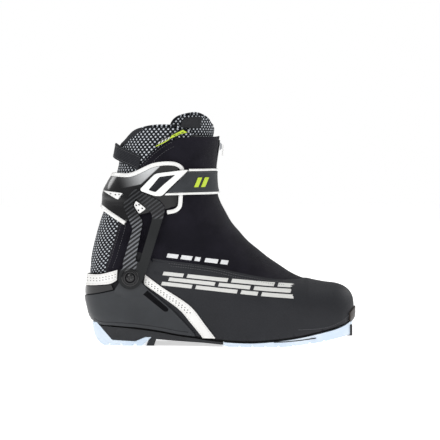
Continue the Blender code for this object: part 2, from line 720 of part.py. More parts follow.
def vamp():
    """From the feather edge up to the throat; in front of the throat's point it closes over the toe."""
    nose = FRONT[FRONT[:, 0] >= 96.5][::-1]
    wing = [*resample(THROAT[1:], 10), polar(ARC - 0.6, 26), *hinge_arc(ARC - 0.6, 40, 80, 4)]
    upper = np.vstack([resample(nose, 13, 1 - np.cos(np.linspace(0, math.pi / 2, 13))), THROAT[0], *wing])
    count = len(upper)
    lower_x = np.interp(np.arange(count), [0, 12, count - 1], [TOE_X, 96.5, VAMP_BACK_X])
    lower_x[:13] = upper[:13, 0]
    lift = np.interp(lower_x, [90, 140, 147], [2.8, 3.0, 5])
    lower = np.stack([lower_x, bottom_z(lower_x) + lift], axis=1)
    solid_patch("vamp", between(lower, upper, 7, meets="front"), 0.0, FABRIC, "vamp_leather")


def toe_puff():
    upper = resample(FRONT[FRONT[:, 0] >= 116][::-1], 8, 1 - np.cos(np.linspace(0.12, math.pi / 2, 8)))
    lower = np.stack([upper[:, 0], bottom_z(upper[:, 0]) + 14], axis=1)
    solid_patch("toe_puff", between(lower, upper, 6, meets="front"), -2.0, 0.9, "board")


def gaiter_instep():
    """The lace cover, from the throat's point up to the ankle."""
    start, end = 93.0, 17.6
    top = FRONT[(FRONT[:, 0] <= start) & (FRONT[:, 0] >= end)]
    top = resample(top[::-1], 12)
    line = [(x, z + 0.7) for x, z in THROAT]
    low = resample([(start, 71.9), *line[1:-1], (-54, 93.9)], 12)
    solid_patch("gaiter_instep", between(low, top, 6, meets="front"), 0.0, FABRIC, "softshell")


def liner_offset(x, z, angle):
    """The liner's outer face: deeper under the laces and under the toe stiffener."""
    laces = smoothstep(x, -60, -20) * (1 - smoothstep(x, 70, 88)) * (z < 170)
    laces = laces * (1 - smoothstep(np.abs(angle), 0.95, 1.35))
    return LINER_OUT - LACE_DIP * laces - PUFF_DIP * smoothstep(x, 100, 114)


def liner_floor(x):
    return bottom_z(x) + 7.2


def above_split(x, z, radius, front_angle, back_angle, gap):
    """True above a line that runs out from the hinge's arc in front and behind, and along it between."""
    front = math.tan(math.radians(front_angle)) * (x - HINGE_X)
    back = math.tan(math.radians(back_angle)) * (x - HINGE_X)
    arc = np.sqrt(np.maximum(radius**2 - (x - HINGE_X) ** 2, 0))
    turn_front = HINGE_X + radius * math.cos(math.radians(front_angle))
    turn_back = HINGE_X + radius * math.cos(math.radians(back_angle))
    edge = np.where(x > turn_front, front, np.where(x < turn_back, back, arc))
    return z - HINGE_Z > edge + gap


def root_liner_above(x, z):
    """True where a point is above the upper end of the inner boot."""
    return above_split(x, z, ARC, FRONT_WEDGE[0], BACK_WEDGE[0], -0.6)


def cuff_liner_above(x, z):
    """True where a point is above the lower end of the soft shaft."""
    return above_split(x, z, ARC + 0.9, FRONT_WEDGE[1], BACK_WEDGE[1], 0.6)


def inner_boot():
    angles = np.linspace(-math.pi, math.pi, 23)
    top = edge_station(angles, root_liner_above)
    share = np.concatenate([np.linspace(0, 0.84, 12), [0.9, 0.95, 0.985, 1]])[:, None]
    s = top[None, :] + share * (TOE_STATION - top)[None, :]
    grid = (s, np.broadcast_to(angles, s.shape).copy())
    solid_patch("inner_boot", [grid], liner_offset, LINER, "liner", floor=liner_floor)


def achilles_mesh():
    """The mesh over the heel, from the counter up to the flex panel."""
    angles = np.linspace(2.42, 2 * math.pi - 2.42, 13)
    top = edge_station(angles_signed(angles), root_liner_above)
    counter = height_line([(-160, 77.6), (-130.8, 78.2), (-119.2, 81.2), (-110, 84.2), (-90, 88)])
    bottom = edge_station(angles_signed(angles), counter)
    solid_patch("achilles_mesh", rings(angles, top, bottom, 5), 0.0, FABRIC, "mesh")


def angles_signed(angles):
    return (angles + math.pi) % (2 * math.pi) - math.pi


def flex_panels():
    """The two panels that stretch and fold as the cuff tilts: over the instep and over the tendon."""
    front = np.linspace(-1.45, 1.45, 15)
    back = np.linspace(2.5, 2 * math.pi - 2.5, 11)
    panels = [("ankle_flex_panel", front, 4, "softshell"), ("achilles_flex_panel", back, 3, "mesh")]
    for name, angles, rows, finish in panels:
        top = edge_station(angles_signed(angles), cuff_liner_above) + PANEL_GAP
        bottom = edge_station(angles_signed(angles), root_liner_above) - PANEL_GAP
        solid_patch(name, rings(angles, top, bottom, rows), 0.0, PANEL, finish)


# ---------------------------------------------------------------- laces under the gaiter

LACE_LOW, LACE_HIGH = (66, 84), (24, 116)
LACE_TURNS, LACE_SWING, LACE_R = 8, 0.78, 0.9
TONGUE_OFFSET, LACE_OFFSET = -5.0, -3.0


def block(stations, angles):
    """A patch between two stations and two angles, given as evenly cut lists."""
    s, angle = np.meshgrid(stations, angles, indexing="ij")
    return [(s, angle)]


def lacing():
    start, end = float(station_of(*LACE_LOW)), float(station_of(*LACE_HIGH))
    stations = np.linspace(start, end, 9)
    solid_patch("tongue_instep", block(stations, np.linspace(-0.62, 0.62, 7)), TONGUE_OFFSET, 2.2, "liner")
    for sign, label in ((-1, "lateral"), (1, "medial")):
        edge = block(stations, sign * np.array([0.72, 0.9]))
        solid_patch(f"lace_guide_{label}", edge, TONGUE_OFFSET - 0.2, 1.2, "webbing")
    turn = np.linspace(0, LACE_TURNS - 1, 5 * (LACE_TURNS - 1) + 1)
    zigzag = 2 * np.abs((turn + 1) % 2 - 1) - 1
    lace_s = start - 1 + (end - start + 2) * turn / (LACE_TURNS - 1)
    route = skin(lace_s, LACE_SWING * zigzag, LACE_OFFSET)
    tube("laces", route, LACE_R, "lace")
    lock = block(np.linspace(end + 9, end + 14, 3), np.linspace(0.25, 0.75, 4))
    solid_patch("cord_lock", lock, -1.9, 2.2, "black_rubber")


# ---------------------------------------------------------------- soft shaft

GAITER_TOP = [(-112, 124), (-108, 138), (-100, 160), (-92, 180), (-82.9, 199.3), (-68.7, 215.6)]
GAITER_TOP += [(-52.4, 223.8), (-32, 228.4), (-3.6, 226.6), (10, 226)]
RIM = [(-120, 215), (-106.3, 221.7), (-93.1, 233.9), (-76.8, 239), (-54.4, 239.5), (-38, 236), (-20, 231)]
RIM += [(-5, 229), (10, 228)]


def lowered(line, drop):
    return [(x, z - drop) for x, z in line]


def shaft_layers():
    in_gaiter = height_line(GAITER_TOP)
    in_rim = height_line(lowered(RIM, 0.8))
    angles = np.linspace(-2.28, 2.28, 21)
    top = edge_station(angles, in_gaiter) + 1.6
    bottom = edge_station(angles, cuff_liner_above)
    solid_patch("shaft_gaiter", rings(angles, top, bottom, 6), 0.0, FABRIC, "softshell")
    angles = np.linspace(1.12, 2 * math.pi - 1.12, 23)
    signed = angles_signed(angles)
    top = edge_station(signed, in_rim)
    bottom = np.minimum(edge_station(signed, in_gaiter), edge_station(signed, cuff_liner_above)) - 0.5
    solid_patch("collar_mesh", rings(angles, top, bottom, 8), 0.0, FABRIC, "mesh")
    angles = np.linspace(0.5, 2 * math.pi - 0.5, 25)
    signed = angles_signed(angles)
    top = edge_station(signed, height_line(lowered(RIM, 0.2)))
    bottom = edge_station(signed, cuff_liner_above)
    solid_patch("collar_liner", rings(angles, top, bottom, 8), LINER_OUT, LINER, "liner")


def tongue_top():
    """The padded tongue, which stands above the collar in front."""
    angles = np.linspace(-1.38, 1.38, 13)
    peak = height_line([(-60, 240), (-52.4, 243.1), (-40.2, 250.2), (-23.9, 253.3), (-6, 249)])
    top = edge_station(angles, peak)
    bottom = np.full(len(angles), FAN_Z - 178.0)
    solid_patch("tongue_top", rings(angles, top, bottom, 6), -7.2, 4.0, "mesh")


def pull_loop():
    """Webbing sewn to both sides of the collar, standing off its back by a finger's width."""
    angles = np.linspace(2.12, 2 * math.pi - 2.12, 15)
    away = np.abs(angles - math.pi) / (math.pi - 2.12)
    middle = 211.5 - 13 * away**1.5
    s = np.stack([FAN_Z - middle - 7.5, FAN_Z - middle + 7.5])
    grid = (s, np.broadcast_to(angles, s.shape).copy())

    def standing_off(x, z, angle):
        return 2.0 + 5.2 * (1 - smoothstep(np.abs(angle - math.pi), 0.3, 0.9))

    solid_patch("pull_loop", [grid], standing_off, 1.5, "webbing")


def on_skin(x, z):
    return 0.0


def collar_tab():
    outline = [(-67, 218.6), (-62.5, 223.4), (-47, 230.6), (-34, 233.4), (-34.6, 230.2), (-50, 226.2)]
    outline += [(-62, 219.6)]
    wrapped_plate("collar_tab", [spaced(outline, 8)], LATERAL, on_skin, 0.5, 1.4, "lime")


# ---------------------------------------------------------------- cuff

RIM_PATH = [(-116, 185.0), (-106, 184.6), (-97.1, 184.9), (-90, 187.2), (-82.9, 190.8), (-72.7, 195.8)]
RIM_PATH += [(-62.6, 197.8), (-50.3, 197.8), (-43.6, 194.6), (-41.4, 189), (-42.6, 172), (-43.2, 156)]
RIM_PATH += [(-44.6, 150.4), (-49, 147), (-57, 145.4)]
LOW_PATH = [(-127, 149.8), (-114, 141.4), (-101.6, 133.4)]
TRIM_HALF = 2.1
RIDGE_Z = [150, 155, 167, 186]
RIDGE = [1.0, 2.2, 4.8, 0.8]


def cuff_offset(x, z, angle=None):
    """The cuff's outer face: it stands off the skin in a ridge round the back."""
    ridge = np.interp(z, RIDGE_Z, RIDGE) * (1 - smoothstep(x, -116, -88))
    return SHELL_OUT + ridge


def trim_offset(x, z, angle):
    return cuff_offset(x, z) + 0.2


def beside(path, distance):
    """The path moved to its left."""
    path = np.asarray(path, float)
    ahead = np.gradient(path, axis=0)
    left = np.stack([-ahead[:, 1], ahead[:, 0]], axis=1)
    return path + left / np.linalg.norm(left, axis=1, keepdims=True) * distance


def from_back(path):
    """The path with its first point moved to the back line."""
    path = np.array(path, float)
    path[0, 0] = back_x(path[0, 1])
    return path


def cuff_shell():
    rim = smooth_line(RIM_PATH[:11], 4)
    top = resample(beside(rim, -TRIM_HALF - 0.4), 16, crowded(16, 1.5))
    corner = [(-94, 137.6), (-86, 143), (-74, 146), (-57, 149.4), (-46.4, 152.6)]
    low = np.vstack([beside(LOW_PATH, TRIM_HALF + 0.4), corner])
    low = resample(low, 16, crowded(16, 1.5))
    front = top[:, 0] > -48
    top[front, 0] = np.minimum(top[front, 0], -46.0)
    grids = between(from_back(low), from_back(top), 10)
    solid_patch("cuff_shell", grids, cuff_offset, CUFF_THICK, "gloss_black")


def cuff_trims():
    rim = resample(smooth_line(RIM_PATH, 4), 26, crowded(26, 1.25))
    low = resample(LOW_PATH, 8, crowded(8))
    for name, path in (("cuff_rim_trim", rim), ("cuff_lower_trim", low)):
        grids = between(from_back(beside(path, -TRIM_HALF)), from_back(beside(path, TRIM_HALF)), 2)
        solid_patch(name, grids, trim_offset, CUFF_THICK, "white_trim")


ARM_OUTLINE = [(-81.8, 74.7), (-77.2, 88.4), (-59.8, 144.6), (-59.2, 151.2), (-64.4, 157.6), (-84.9, 167.4)]
ARM_OUTLINE += [(-91, 171.4), (-99, 162.6), (-105, 153.6), (-95.6, 131.4), (-94, 127), (-105.6, 88.5)]
ARM_WINDOW = [(-91.6, 92), (-83.4, 133.6), (-84, 137.4), (-94.6, 153.4), (-90.2, 161.2), (-77.4, 149.6)]
ARM_WINDOW += [(-73, 142.6), (-73.2, 137), (-86.6, 92)]
VENT = [(-89.2, 157.6), (-79.6, 149.6), (-86.8, 143.8), (-91.6, 152.6)]
VENT_HOLES = [(-89.2, 152.8), (-87.2, 147.6), (-83.4, 149.8), (-86.4, 153.6)]
BACK_VENT = [(-119, 165.4), (-101.4, 164.8), (-106.3, 157.6)]
BACK_VENT_HOLES = [(-111.6, 163), (-107.6, 162.4), (-104.4, 163)]


def arm_face(side, level):
    """The arm's face: flat at the pivot, and lying on the cuff shell further up."""
    flat = hinge_plane(side) + ARM[level]
    over_shell = (1.8, 4.2)[level]

    def face(x, z):
        lying = float(half_width(x, z, side)) + float(cuff_offset(x, z)) + over_shell
        return flat + (lying - flat) * float(smoothstep(math.dist((x, z), (HINGE_X, HINGE_Z)), 16, 52))

    return face


def cuff_arms():
    ear = [polar(HINGE_EAR, a) for a in np.linspace(128, 335, 14)]
    outer = spaced([*ear, *filleted(ARM_OUTLINE, 4)[2:-2]], 9)
    window = spaced(filleted(ARM_WINDOW, 3), 9)
    for side, label in ((LATERAL, "lateral"), (MEDIAL, "medial")):
        faces = arm_face(side, 0), arm_face(side, 1)
        arm = side_plate(f"cuff_arm_{label}", [outer, window], side, *faces, "carbon")
        boolean(arm, pivot_hole(f"arm_bore_{label}", side), "DIFFERENCE")
        vent = [filleted(VENT, 1.6), *(circle(x, z, 0.9) for x, z in VENT_HOLES)]
        wrapped_plate(f"vent_plate_{label}", vent, side, cuff_offset, 0.7, 2.3, "white_trim")
        vent = [spaced(filleted(BACK_VENT, 1.2), 3), *(circle(x, z, 0.7) for x, z in BACK_VENT_HOLES)]
        wrapped_plate(f"back_vent_{label}", vent, side, cuff_offset, 0.8, 2.2, "white_trim")


def pivots():
    for side, label in ((LATERAL, "lateral"), (MEDIAL, "medial")):
        y = hinge_plane(side)
        hinge = (HINGE_X, HINGE_Z)
        washer = [(HOLE, y + WASHER[0]), (HOLE, y + WASHER[1]), (8.6, y + WASHER[1]), (8.6, y + WASHER[0])]
        turned(f"pivot_washer_{label}", [*washer, washer[0]], hinge, side, "steel")
        ring = [(5.4, y + CAP[0]), (5.4, y + CAP[1] - 0.4), (6.4, y + CAP[1]), (8.6, y + CAP[1])]
        ring += [(9.6, y + CAP[1] - 0.5), (9.6, y + CAP[0]), (5.4, y + CAP[0])]
        turned(f"pivot_cap_{label}", ring, hinge, side, "gloss_black")
        head = [(0, y + SCREW_TOP), (2.4, y + SCREW_TOP - 0.3), (5.0, y + SCREW_TOP - 1.4), (5.0, y + CAP[0])]
        shank = [(SHANK, y + CAP[0]), (SHANK, y + 1.8), (0, y + 1.8)]
        turned(f"pivot_screw_{label}", [*head, *shank], hinge, side, "steel")


# ---------------------------------------------------------------- strap

STRAP_LOW, STRAP_HIGH = 166.8, 189.6
STRAP_TRIM = 2.8
STRAP_ANCHOR_X = -36.0
FRAME = [(-69.3, 187.4), (-84.0, 170.4), (-83.4, 168.2), (-70.2, 163.4), (-62.2, 163.4), (-36.2, 191.8)]
FRAME_WINDOW = [(-65.2, 183.9), (-48.9, 186.2), (-69.4, 167.4), (-76.6, 169.7)]


def strap_offset(x, z, angle=None):
    """Close to the zip in front, and clear of the cuff shell at the sides."""
    return 2.9 + (SHELL_OUT + 0.4) * (1 - smoothstep(x, -44, -12))


def piping_offset(x, z, angle):
    return strap_offset(x, z) + 0.3


def strap_band(low, high, offset, rows, thickness, name, finish):
    """A stretch of the strap's height, from the pull frame's slanting edge round to the anchor."""
    levels = np.linspace(low, high, rows)
    slant = np.interp(levels, [163.9, 191.1], [-59.8, -35.4])
    grid_s, grid_a = [], []
    for z, lateral_x in zip(levels, slant):
        start = -float(angle_of(lateral_x, z))
        end = float(angle_of(STRAP_ANCHOR_X, z))
        grid_a.append(np.linspace(start, end, 19))
        grid_s.append(np.full(19, FAN_Z - z))
    return solid_patch(name, [(np.array(grid_s), np.array(grid_a))], offset, thickness, finish)


def strap():
    trim_low, trim_high = STRAP_LOW - STRAP_TRIM, STRAP_HIGH + STRAP_TRIM
    strap_band(STRAP_LOW, STRAP_HIGH, strap_offset, 3, 1.6, "strap", "webbing")
    strap_band(STRAP_HIGH + 0.4, trim_high, piping_offset, 2, 2.0, "strap_trim_upper", "white_trim")
    strap_band(trim_low, STRAP_LOW - 0.4, piping_offset, 2, 2.0, "strap_trim_lower", "white_trim")
    frame = [spaced(filleted(FRAME, 3), 9), spaced(filleted(FRAME_WINDOW, 1.6), 9)]
    wrapped_plate("strap_pull_frame", frame, LATERAL, on_skin, SHELL_OUT + 2.0, SHELL_OUT + 4.8, "white_trim")
    emblem = spaced([(-34.6, 172.6), (-27.2, 172.6), (-23.4, 182.2), (-30.8, 182.2)], 5)
    wrapped_plate("strap_emblem", [emblem], LATERAL, strap_offset, 0.5, 1.3, "lime")


def strap_fixings():
    """What the strap closes on, and what holds its other end."""
    patch = filleted([(-64, 168.5), (-48, 168.5), (-48, 186.5), (-54, 186.5), (-64, 178)], 2)
    wrapped_plate("hook_patch", [spaced(patch, 9)], LATERAL, cuff_offset, 0.5, 0.9, "black_rubber")
    plate = filleted([(-66, 168), (-45.5, 166), (-45.5, 188), (-66, 186)], 4)
    wrapped_plate("strap_anchor", [spaced(plate, 8)], MEDIAL, cuff_offset, 0.8, 2.6, "gloss_black")


# ---------------------------------------------------------------- zip

ZIP_TOP, ZIP_LOW = 223.5, 168.0
SLIDER_Z = 216.5
SLIDER_X = float(front_at(FAN_Z - SLIDER_Z)[0])
PULL_X, PULL_Z = SLIDER_X + 5.4, SLIDER_Z + 1.6
PULL_LENGTH = 12.0


def zipper():
    track = block(np.linspace(FAN_Z - ZIP_TOP, FAN_Z - ZIP_LOW, 9), np.linspace(-0.075, 0.075, 3))
    solid_patch("zipper_track", track, 1.0, 0.6, "zipper")
    x, z = SLIDER_X, SLIDER_Z
    slider = [(x + 1.85, z + 4.6), (x + 4.3, z + 2.4), (x + 4.3, z - 2.4), (x + 1.65, z - 4.6)]
    side_prism("zip_slider", slider, -2.8, 2.8, "steel")
    low = PULL_Z - PULL_LENGTH
    tab = [(x + 4.7, PULL_Z), (x + 6.1, PULL_Z), (x + 5.6, low), (x + 4.2, low)]
    side_prism("zip_pull", tab, -2.2, 2.2, "white_trim")


# ---------------------------------------------------------------- toe


def toe_bumper():
    x = TOE_X - 6.5 * (1 - np.sin(np.linspace(0, math.pi / 2, 6)))
    low = np.stack([x, bottom_z(x) + np.interp(x, [140, TOE_X], [2, 0.5])], axis=1)
    low[:, 1] = np.maximum(low[:, 1], 24.5)
    high = np.stack([x, np.interp(x, [140, TOE_X], [33.5, 40.5])], axis=1)
    solid_patch("toe_bumper", between(low, high, 4, meets="nowhere"), 2.7, 2.0, "brown_rubber")


# ---------------------------------------------------------------- joints

STRAP_PIVOT = (-36.0, 48.0, 178.0)

ON_CUFF = ["cuff_shell", "cuff_arm_lateral", "cuff_arm_medial", "cuff_rim_trim", "cuff_lower_trim"]
ON_CUFF += ["vent_plate_lateral", "vent_plate_medial", "back_vent_lateral", "back_vent_medial"]
ON_CUFF += ["collar_liner", "collar_mesh", "shaft_gaiter", "tongue_top", "pull_loop", "collar_tab"]
ON_CUFF += ["hook_patch", "strap_anchor", "zipper_track"]
ON_STRAP = ["strap", "strap_trim_upper", "strap_trim_lower", "strap_pull_frame", "strap_emblem"]


def axis_empty(name, place, parent, riders):
    """An empty on a joint's axis, which carries the pieces that move with it."""
    empty = bpy.data.objects.new(name, None)
    empty.location = [c * MM for c in place]
    PARTS.objects.link(empty)
    bpy.context.view_layer.update()
    for child in [empty, *(bpy.data.objects[rider] for rider in riders)]:
        holder = parent if child == empty else empty
        if holder is None:
            continue
        child.parent = holder
        child.matrix_parent_inverse = holder.matrix_world.inverted()
    return empty


def hang_moving_pieces():
    cuff = axis_empty("cuff_axis", (HINGE_X, 0, HINGE_Z), None, ON_CUFF)
    axis_empty("strap_axis", STRAP_PIVOT, cuff, ON_STRAP)
    slider = axis_empty("zip_slider_axis", (SLIDER_X, 0, SLIDER_Z), cuff, ["zip_slider"])
    axis_empty("zip_pull_axis", (PULL_X, 0, PULL_Z), slider, ["zip_pull"])


def build():
    forefoot_outsole()
    heel_outsole()
    sole_chassis()
    toe_binding_pieces()
    inside_sole()
    heel_pieces()
    side_stripes()
    vamp()
    toe_puff()
    toe_bumper()
    inner_boot()
    gaiter_instep()
    achilles_mesh()
    flex_panels()
    lacing()
    shaft_layers()
    tongue_top()
    pull_loop()
    collar_tab()
    cuff_shell()
    cuff_trims()
    cuff_arms()
    pivots()
    strap()
    strap_fixings()
    zipper()
    hang_moving_pieces()


build()
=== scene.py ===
"""The look of the cross country skate boot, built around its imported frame.

The boot is laid out in millimetres in side view, X against Z, and turned into metres by MM. Every
wrapped piece is a patch of one skin. A point of the skin has a station, which runs down the shaft,
round a fan at the ankle and out to the toe, and an angle round the section, from 0 in front or on
top to pi behind or below; the angle is negative on the lateral side.
"""

import math

import bmesh
import bpy
import numpy as np
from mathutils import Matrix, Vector


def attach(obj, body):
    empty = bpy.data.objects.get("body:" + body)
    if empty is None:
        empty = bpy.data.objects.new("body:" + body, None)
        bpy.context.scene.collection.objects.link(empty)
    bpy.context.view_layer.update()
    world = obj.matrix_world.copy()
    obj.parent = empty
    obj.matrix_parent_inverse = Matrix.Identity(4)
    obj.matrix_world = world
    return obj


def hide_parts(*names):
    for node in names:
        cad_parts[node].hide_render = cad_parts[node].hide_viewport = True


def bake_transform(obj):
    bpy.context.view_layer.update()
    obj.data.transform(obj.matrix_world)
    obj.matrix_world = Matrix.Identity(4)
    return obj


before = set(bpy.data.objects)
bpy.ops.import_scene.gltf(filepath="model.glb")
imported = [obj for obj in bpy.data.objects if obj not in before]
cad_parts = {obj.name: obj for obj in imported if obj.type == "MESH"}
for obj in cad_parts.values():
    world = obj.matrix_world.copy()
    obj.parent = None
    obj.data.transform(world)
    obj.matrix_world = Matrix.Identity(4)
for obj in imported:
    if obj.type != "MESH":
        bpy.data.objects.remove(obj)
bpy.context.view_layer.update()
MM = 0.001
PER_METRE = 1000
LATERAL, MEDIAL = -1, 1
SIDES = ((LATERAL, "lateral"), (MEDIAL, "medial"))
SCENE = bpy.context.scene
SCENE.view_settings.view_transform = "Standard"

# ---------------------------------------------------------------- the skin, as the CAD part lays it out

FRONT_LINE = [(-1.0, 258), (-1.0, 240), (-1.5, 222), (-5.0, 196), (-5.4, 180), (-3.4, 166), (4.6, 145.4)]
FRONT_LINE += [(18.8, 125.1), (39.2, 104.7), (69.7, 83.4), (90, 72.9), (111.7, 67.6), (126.3, 65.6)]
FRONT_LINE += [(134.5, 63), (140.8, 58.8), (144.9, 53), (146.6, 47), (147.1, 40)]
BACK_LINE = [(-99, 258), (-103.5, 240), (-107.2, 221.7), (-112.2, 195.3), (-117.6, 176), (-124.5, 156)]
BACK_LINE += [(-128.7, 144.4), (-134.8, 125.1), (-140.9, 100.7), (-144, 78.3), (-145.6, 64), (-146, 52)]
BACK_LINE += [(-144.2, 42), (-141, 31), (-134, 22), (-118, 20.6), (-100, 19.4), (-68.2, 15.4)]
BACK_LINE += [(-46.8, 11.4), (-27.6, 9), (-12, 6.6), (12.7, 4.6), (40, 4.4), (76.9, 7.9), (104.9, 13)]
BACK_LINE += [(124.6, 17.2), (136.4, 21), (143, 25), (146.6, 29.5), (147.1, 34)]
HEEL_CORNER_X, HEEL_CORNER_Z = -134.0, 22.0
TOE_X = 147.1
FOOT_X = [-146, -100, -60, -20, 20, 48, 80, 110, 147]
FOOT_HALF = {
    LATERAL: [33.5, 34, 35.5, 41, 48.5, 51.5, 50, 46.5, 46],
    MEDIAL: [32.5, 33, 33, 36, 43, 46.5, 45.5, 43.5, 43],
}
SHAFT_Z = [90, 130, 180, 256]
SHAFT_HALF = [42.5, 41.5, 43.5, 47]
ANKLE_LOW, ANKLE_HIGH = 38, 112
FRONT_ROUND, BACK_ROUND, TOE_ROUND, SOLE_EDGE = 54, 46, 58, 5
TOE_SHIFT_X = (30, 147)
TOE_SHIFT = 8
FAN_X, FAN_Z = 48, 128
FAN = 90
SNAP = 0.004
BEVEL_ANGLE, CRISP_ANGLE, KEPT_ANGLE = 38, 30, 35
HINGE_X, HINGE_Z = -96.8, 75.0
HINGE_EAR = 12.8
ARC = 29.5
CUFF_IN, CUFF_THICK = 1.0, 2.2
HEEL_IN, HEEL_THICK = 0.9, 2.2
SHELL_OUT = CUFF_IN + CUFF_THICK
EAR_OUT = 4.6
ARM = (5.8, 8.2)
CAP = (8.5, 10.1)
SCREW_TOP = 11.0
SHANK = 2.8


def smooth_line(points, steps=8):
    """A Catmull-Rom line through the points."""
    p = np.array([points[0], *points, points[-1]], float)
    t = (np.arange(steps) / steps)[:, None]
    spans = []
    for a, b, c, d in zip(p, p[1:], p[2:], p[3:]):
        spans.append(b + 0.5 * t * (c - a + t * (2 * a - 5 * b + 4 * c - d + t * (3 * (b - c) + d - a))))
    return np.vstack([*spans, p[-1:]])


def smoothstep(value, low, high):
    t = np.clip((value - low) / (high - low), 0, 1)
    return t * t * (3 - 2 * t)


def rounded(share):
    return np.sqrt(1 - (1 - np.clip(share, 0, 1)) ** 2)


def station_of(x, z):
    angle = np.clip(np.arctan2(FAN_Z - z, FAN_X - x), 0, math.pi / 2)
    forefoot = FAN * math.pi / 2 + x - FAN_X
    return np.where(z >= FAN_Z, FAN_Z - z, np.where(x >= FAN_X, forefoot, FAN * angle))


FRONT = smooth_line(FRONT_LINE, 24)
BACK = smooth_line(BACK_LINE, 24)
FRONT_S = station_of(*FRONT.T)
BACK_S = station_of(*BACK.T)
HEEL_WALL = BACK[(BACK[:, 0] < 0) & (BACK[:, 1] >= HEEL_CORNER_Z)][::-1]
LAST_BOTTOM = BACK[BACK[:, 1] <= 34.1]
LAST_BOTTOM = LAST_BOTTOM[LAST_BOTTOM[:, 0] >= HEEL_CORNER_X]
TOE_STATION = float(FRONT_S[-1])
BACK_RUN = np.concatenate([[0], np.cumsum(np.hypot(*np.diff(BACK, axis=0).T))])
WIDTHS = {side: smooth_line(list(zip(FOOT_X, FOOT_HALF[side])), 24) for side in (LATERAL, MEDIAL)}
SHAFT_WIDTHS = smooth_line(list(zip(SHAFT_Z, SHAFT_HALF)), 24)


def front_at(s):
    return np.interp(s, FRONT_S, FRONT[:, 0]), np.interp(s, FRONT_S, FRONT[:, 1])


def back_at(s):
    return np.interp(s, BACK_S, BACK[:, 0]), np.interp(s, BACK_S, BACK[:, 1])


def back_x(z):
    return np.interp(z, HEEL_WALL[:, 1], HEEL_WALL[:, 0])


def bottom_z(x):
    return np.interp(x, LAST_BOTTOM[:, 0], LAST_BOTTOM[:, 1])


def centre_y(x):
    return TOE_SHIFT * smoothstep(x, *TOE_SHIFT_X)


def half_width(x, z, side):
    fx, fz = front_at(station_of(x, z))
    bx, bz = back_at(station_of(x, z))
    foot = np.interp(x, *WIDTHS[side].T)
    shaft = np.interp(z, *SHAFT_WIDTHS.T)
    width = foot + (shaft - foot) * smoothstep(z, ANKLE_LOW, ANKLE_HIGH)
    reach = np.minimum(FRONT_ROUND, 0.8 * np.hypot(bx - fx, bz - fz) + 1e-6)
    width = width * rounded(np.hypot(x - fx, z - fz) / reach)
    width = width * rounded((x - back_x(z)) / BACK_ROUND) * rounded((TOE_X - x) / TOE_ROUND)
    edge = np.clip(1 - (z - bottom_z(x)) / SOLE_EDGE, 0, 1)
    return np.maximum(width - SOLE_EDGE * (1 - np.sqrt(1 - edge * edge)), 0)


def side_view(s, angle):
    share = (1 - np.cos(angle)) / 2
    fx, fz = front_at(s)
    bx, bz = back_at(s)
    return fx + share * (bx - fx), fz + share * (bz - fz)


def angle_of(x, z):
    s = station_of(x, z)
    fx, fz = front_at(s)
    bx, bz = back_at(s)
    share = ((x - fx) * (bx - fx) + (z - fz) * (bz - fz)) / ((bx - fx) ** 2 + (bz - fz) ** 2)
    share = np.where(share > 1 - SNAP, 1, np.where(share < SNAP, 0, share))
    return np.arccos(1 - 2 * share)


def signed_angle(angle):
    """An angle round the section, brought between -pi and pi."""
    return (angle + math.pi) % (2 * math.pi) - math.pi


def both_of(points):
    """The stations and angles of an array of side-view points."""
    x, z = np.moveaxis(points, -1, 0)
    return station_of(x, z), angle_of(x, z)


def bare_skin(s, angle):
    angle = signed_angle(angle)
    x, z = side_view(s, np.abs(angle))
    half = np.where(angle < 0, -half_width(x, z, LATERAL), half_width(x, z, MEDIAL))
    half = np.where(np.abs(angle) > math.pi - 1e-6, 0, half)
    return np.stack([x, centre_y(x) + half, z], axis=-1)


def skin(s, angle, offset=0.0):
    """Points of the skin moved outwards by offset."""
    s = np.clip(s, FRONT_S[0] + 1, TOE_STATION)
    point = bare_skin(s, angle)
    near = np.minimum(s, TOE_STATION - 0.6)
    along = bare_skin(near + 0.5, angle) - bare_skin(near - 1.5, angle)
    around = bare_skin(near, angle + 0.04) - bare_skin(near, angle - 0.04)
    normal = np.cross(along, around)
    normal /= np.linalg.norm(normal, axis=-1, keepdims=True) + 1e-12
    cx, cz = side_view(s, np.full_like(s, math.pi / 2))
    outwards = point - np.stack([cx, centre_y(cx), cz], axis=-1)
    normal *= np.where((normal * outwards).sum(-1, keepdims=True) < 0, -1, 1)
    normal = np.where((s > TOE_STATION - 0.05)[..., None], (1.0, 0.0, 0.0), normal)
    return point + normal * np.asarray(offset, float)[..., None]


def on_skin(x, z, side, offset=0.0):
    """The skin point that is seen at X, Z from one side."""
    x, z = np.asarray(x, float), np.asarray(z, float)
    return skin(station_of(x, z), side * angle_of(x, z), np.broadcast_to(offset, x.shape))


# ---------------------------------------------------------------- lines in side view


def resample(line, count, ease=None):
    line = np.asarray(line, float)
    run = np.concatenate([[0], np.cumsum(np.hypot(*np.diff(line, axis=0).T))])
    share = np.linspace(0, 1, count) if ease is None else ease
    return np.stack([np.interp(share * run[-1], run, line[:, k]) for k in (0, 1)], axis=1)


def crowded(count, power=1.8):
    return np.linspace(0, 1, count) ** power


def height_line(points):
    xs, zs = np.array(sorted(map(tuple, points))).T
    return lambda x, z: z > np.interp(x, xs, zs)


def edge_station(angles, above, low=-126.0, high=TOE_STATION - 1.0):
    """For each angle, the station where above(x, z), true up the shaft, stops being true."""
    signed = signed_angle(np.asarray(angles))
    low, high = np.full(len(signed), low), np.full(len(signed), high)
    for _ in range(40):
        mid = (low + high) / 2
        is_above = above(*side_view(mid, np.abs(signed)))
        low, high = np.where(is_above, mid, low), np.where(is_above, high, mid)
    return low


def rings(angles, top, bottom, rows):
    share = np.linspace(0, 1, rows)[:, None]
    s = top[None, :] + share * (bottom - top)[None, :]
    return s, np.broadcast_to(angles, s.shape).copy()


def block(stations, angles):
    return np.meshgrid(stations, angles, indexing="ij")


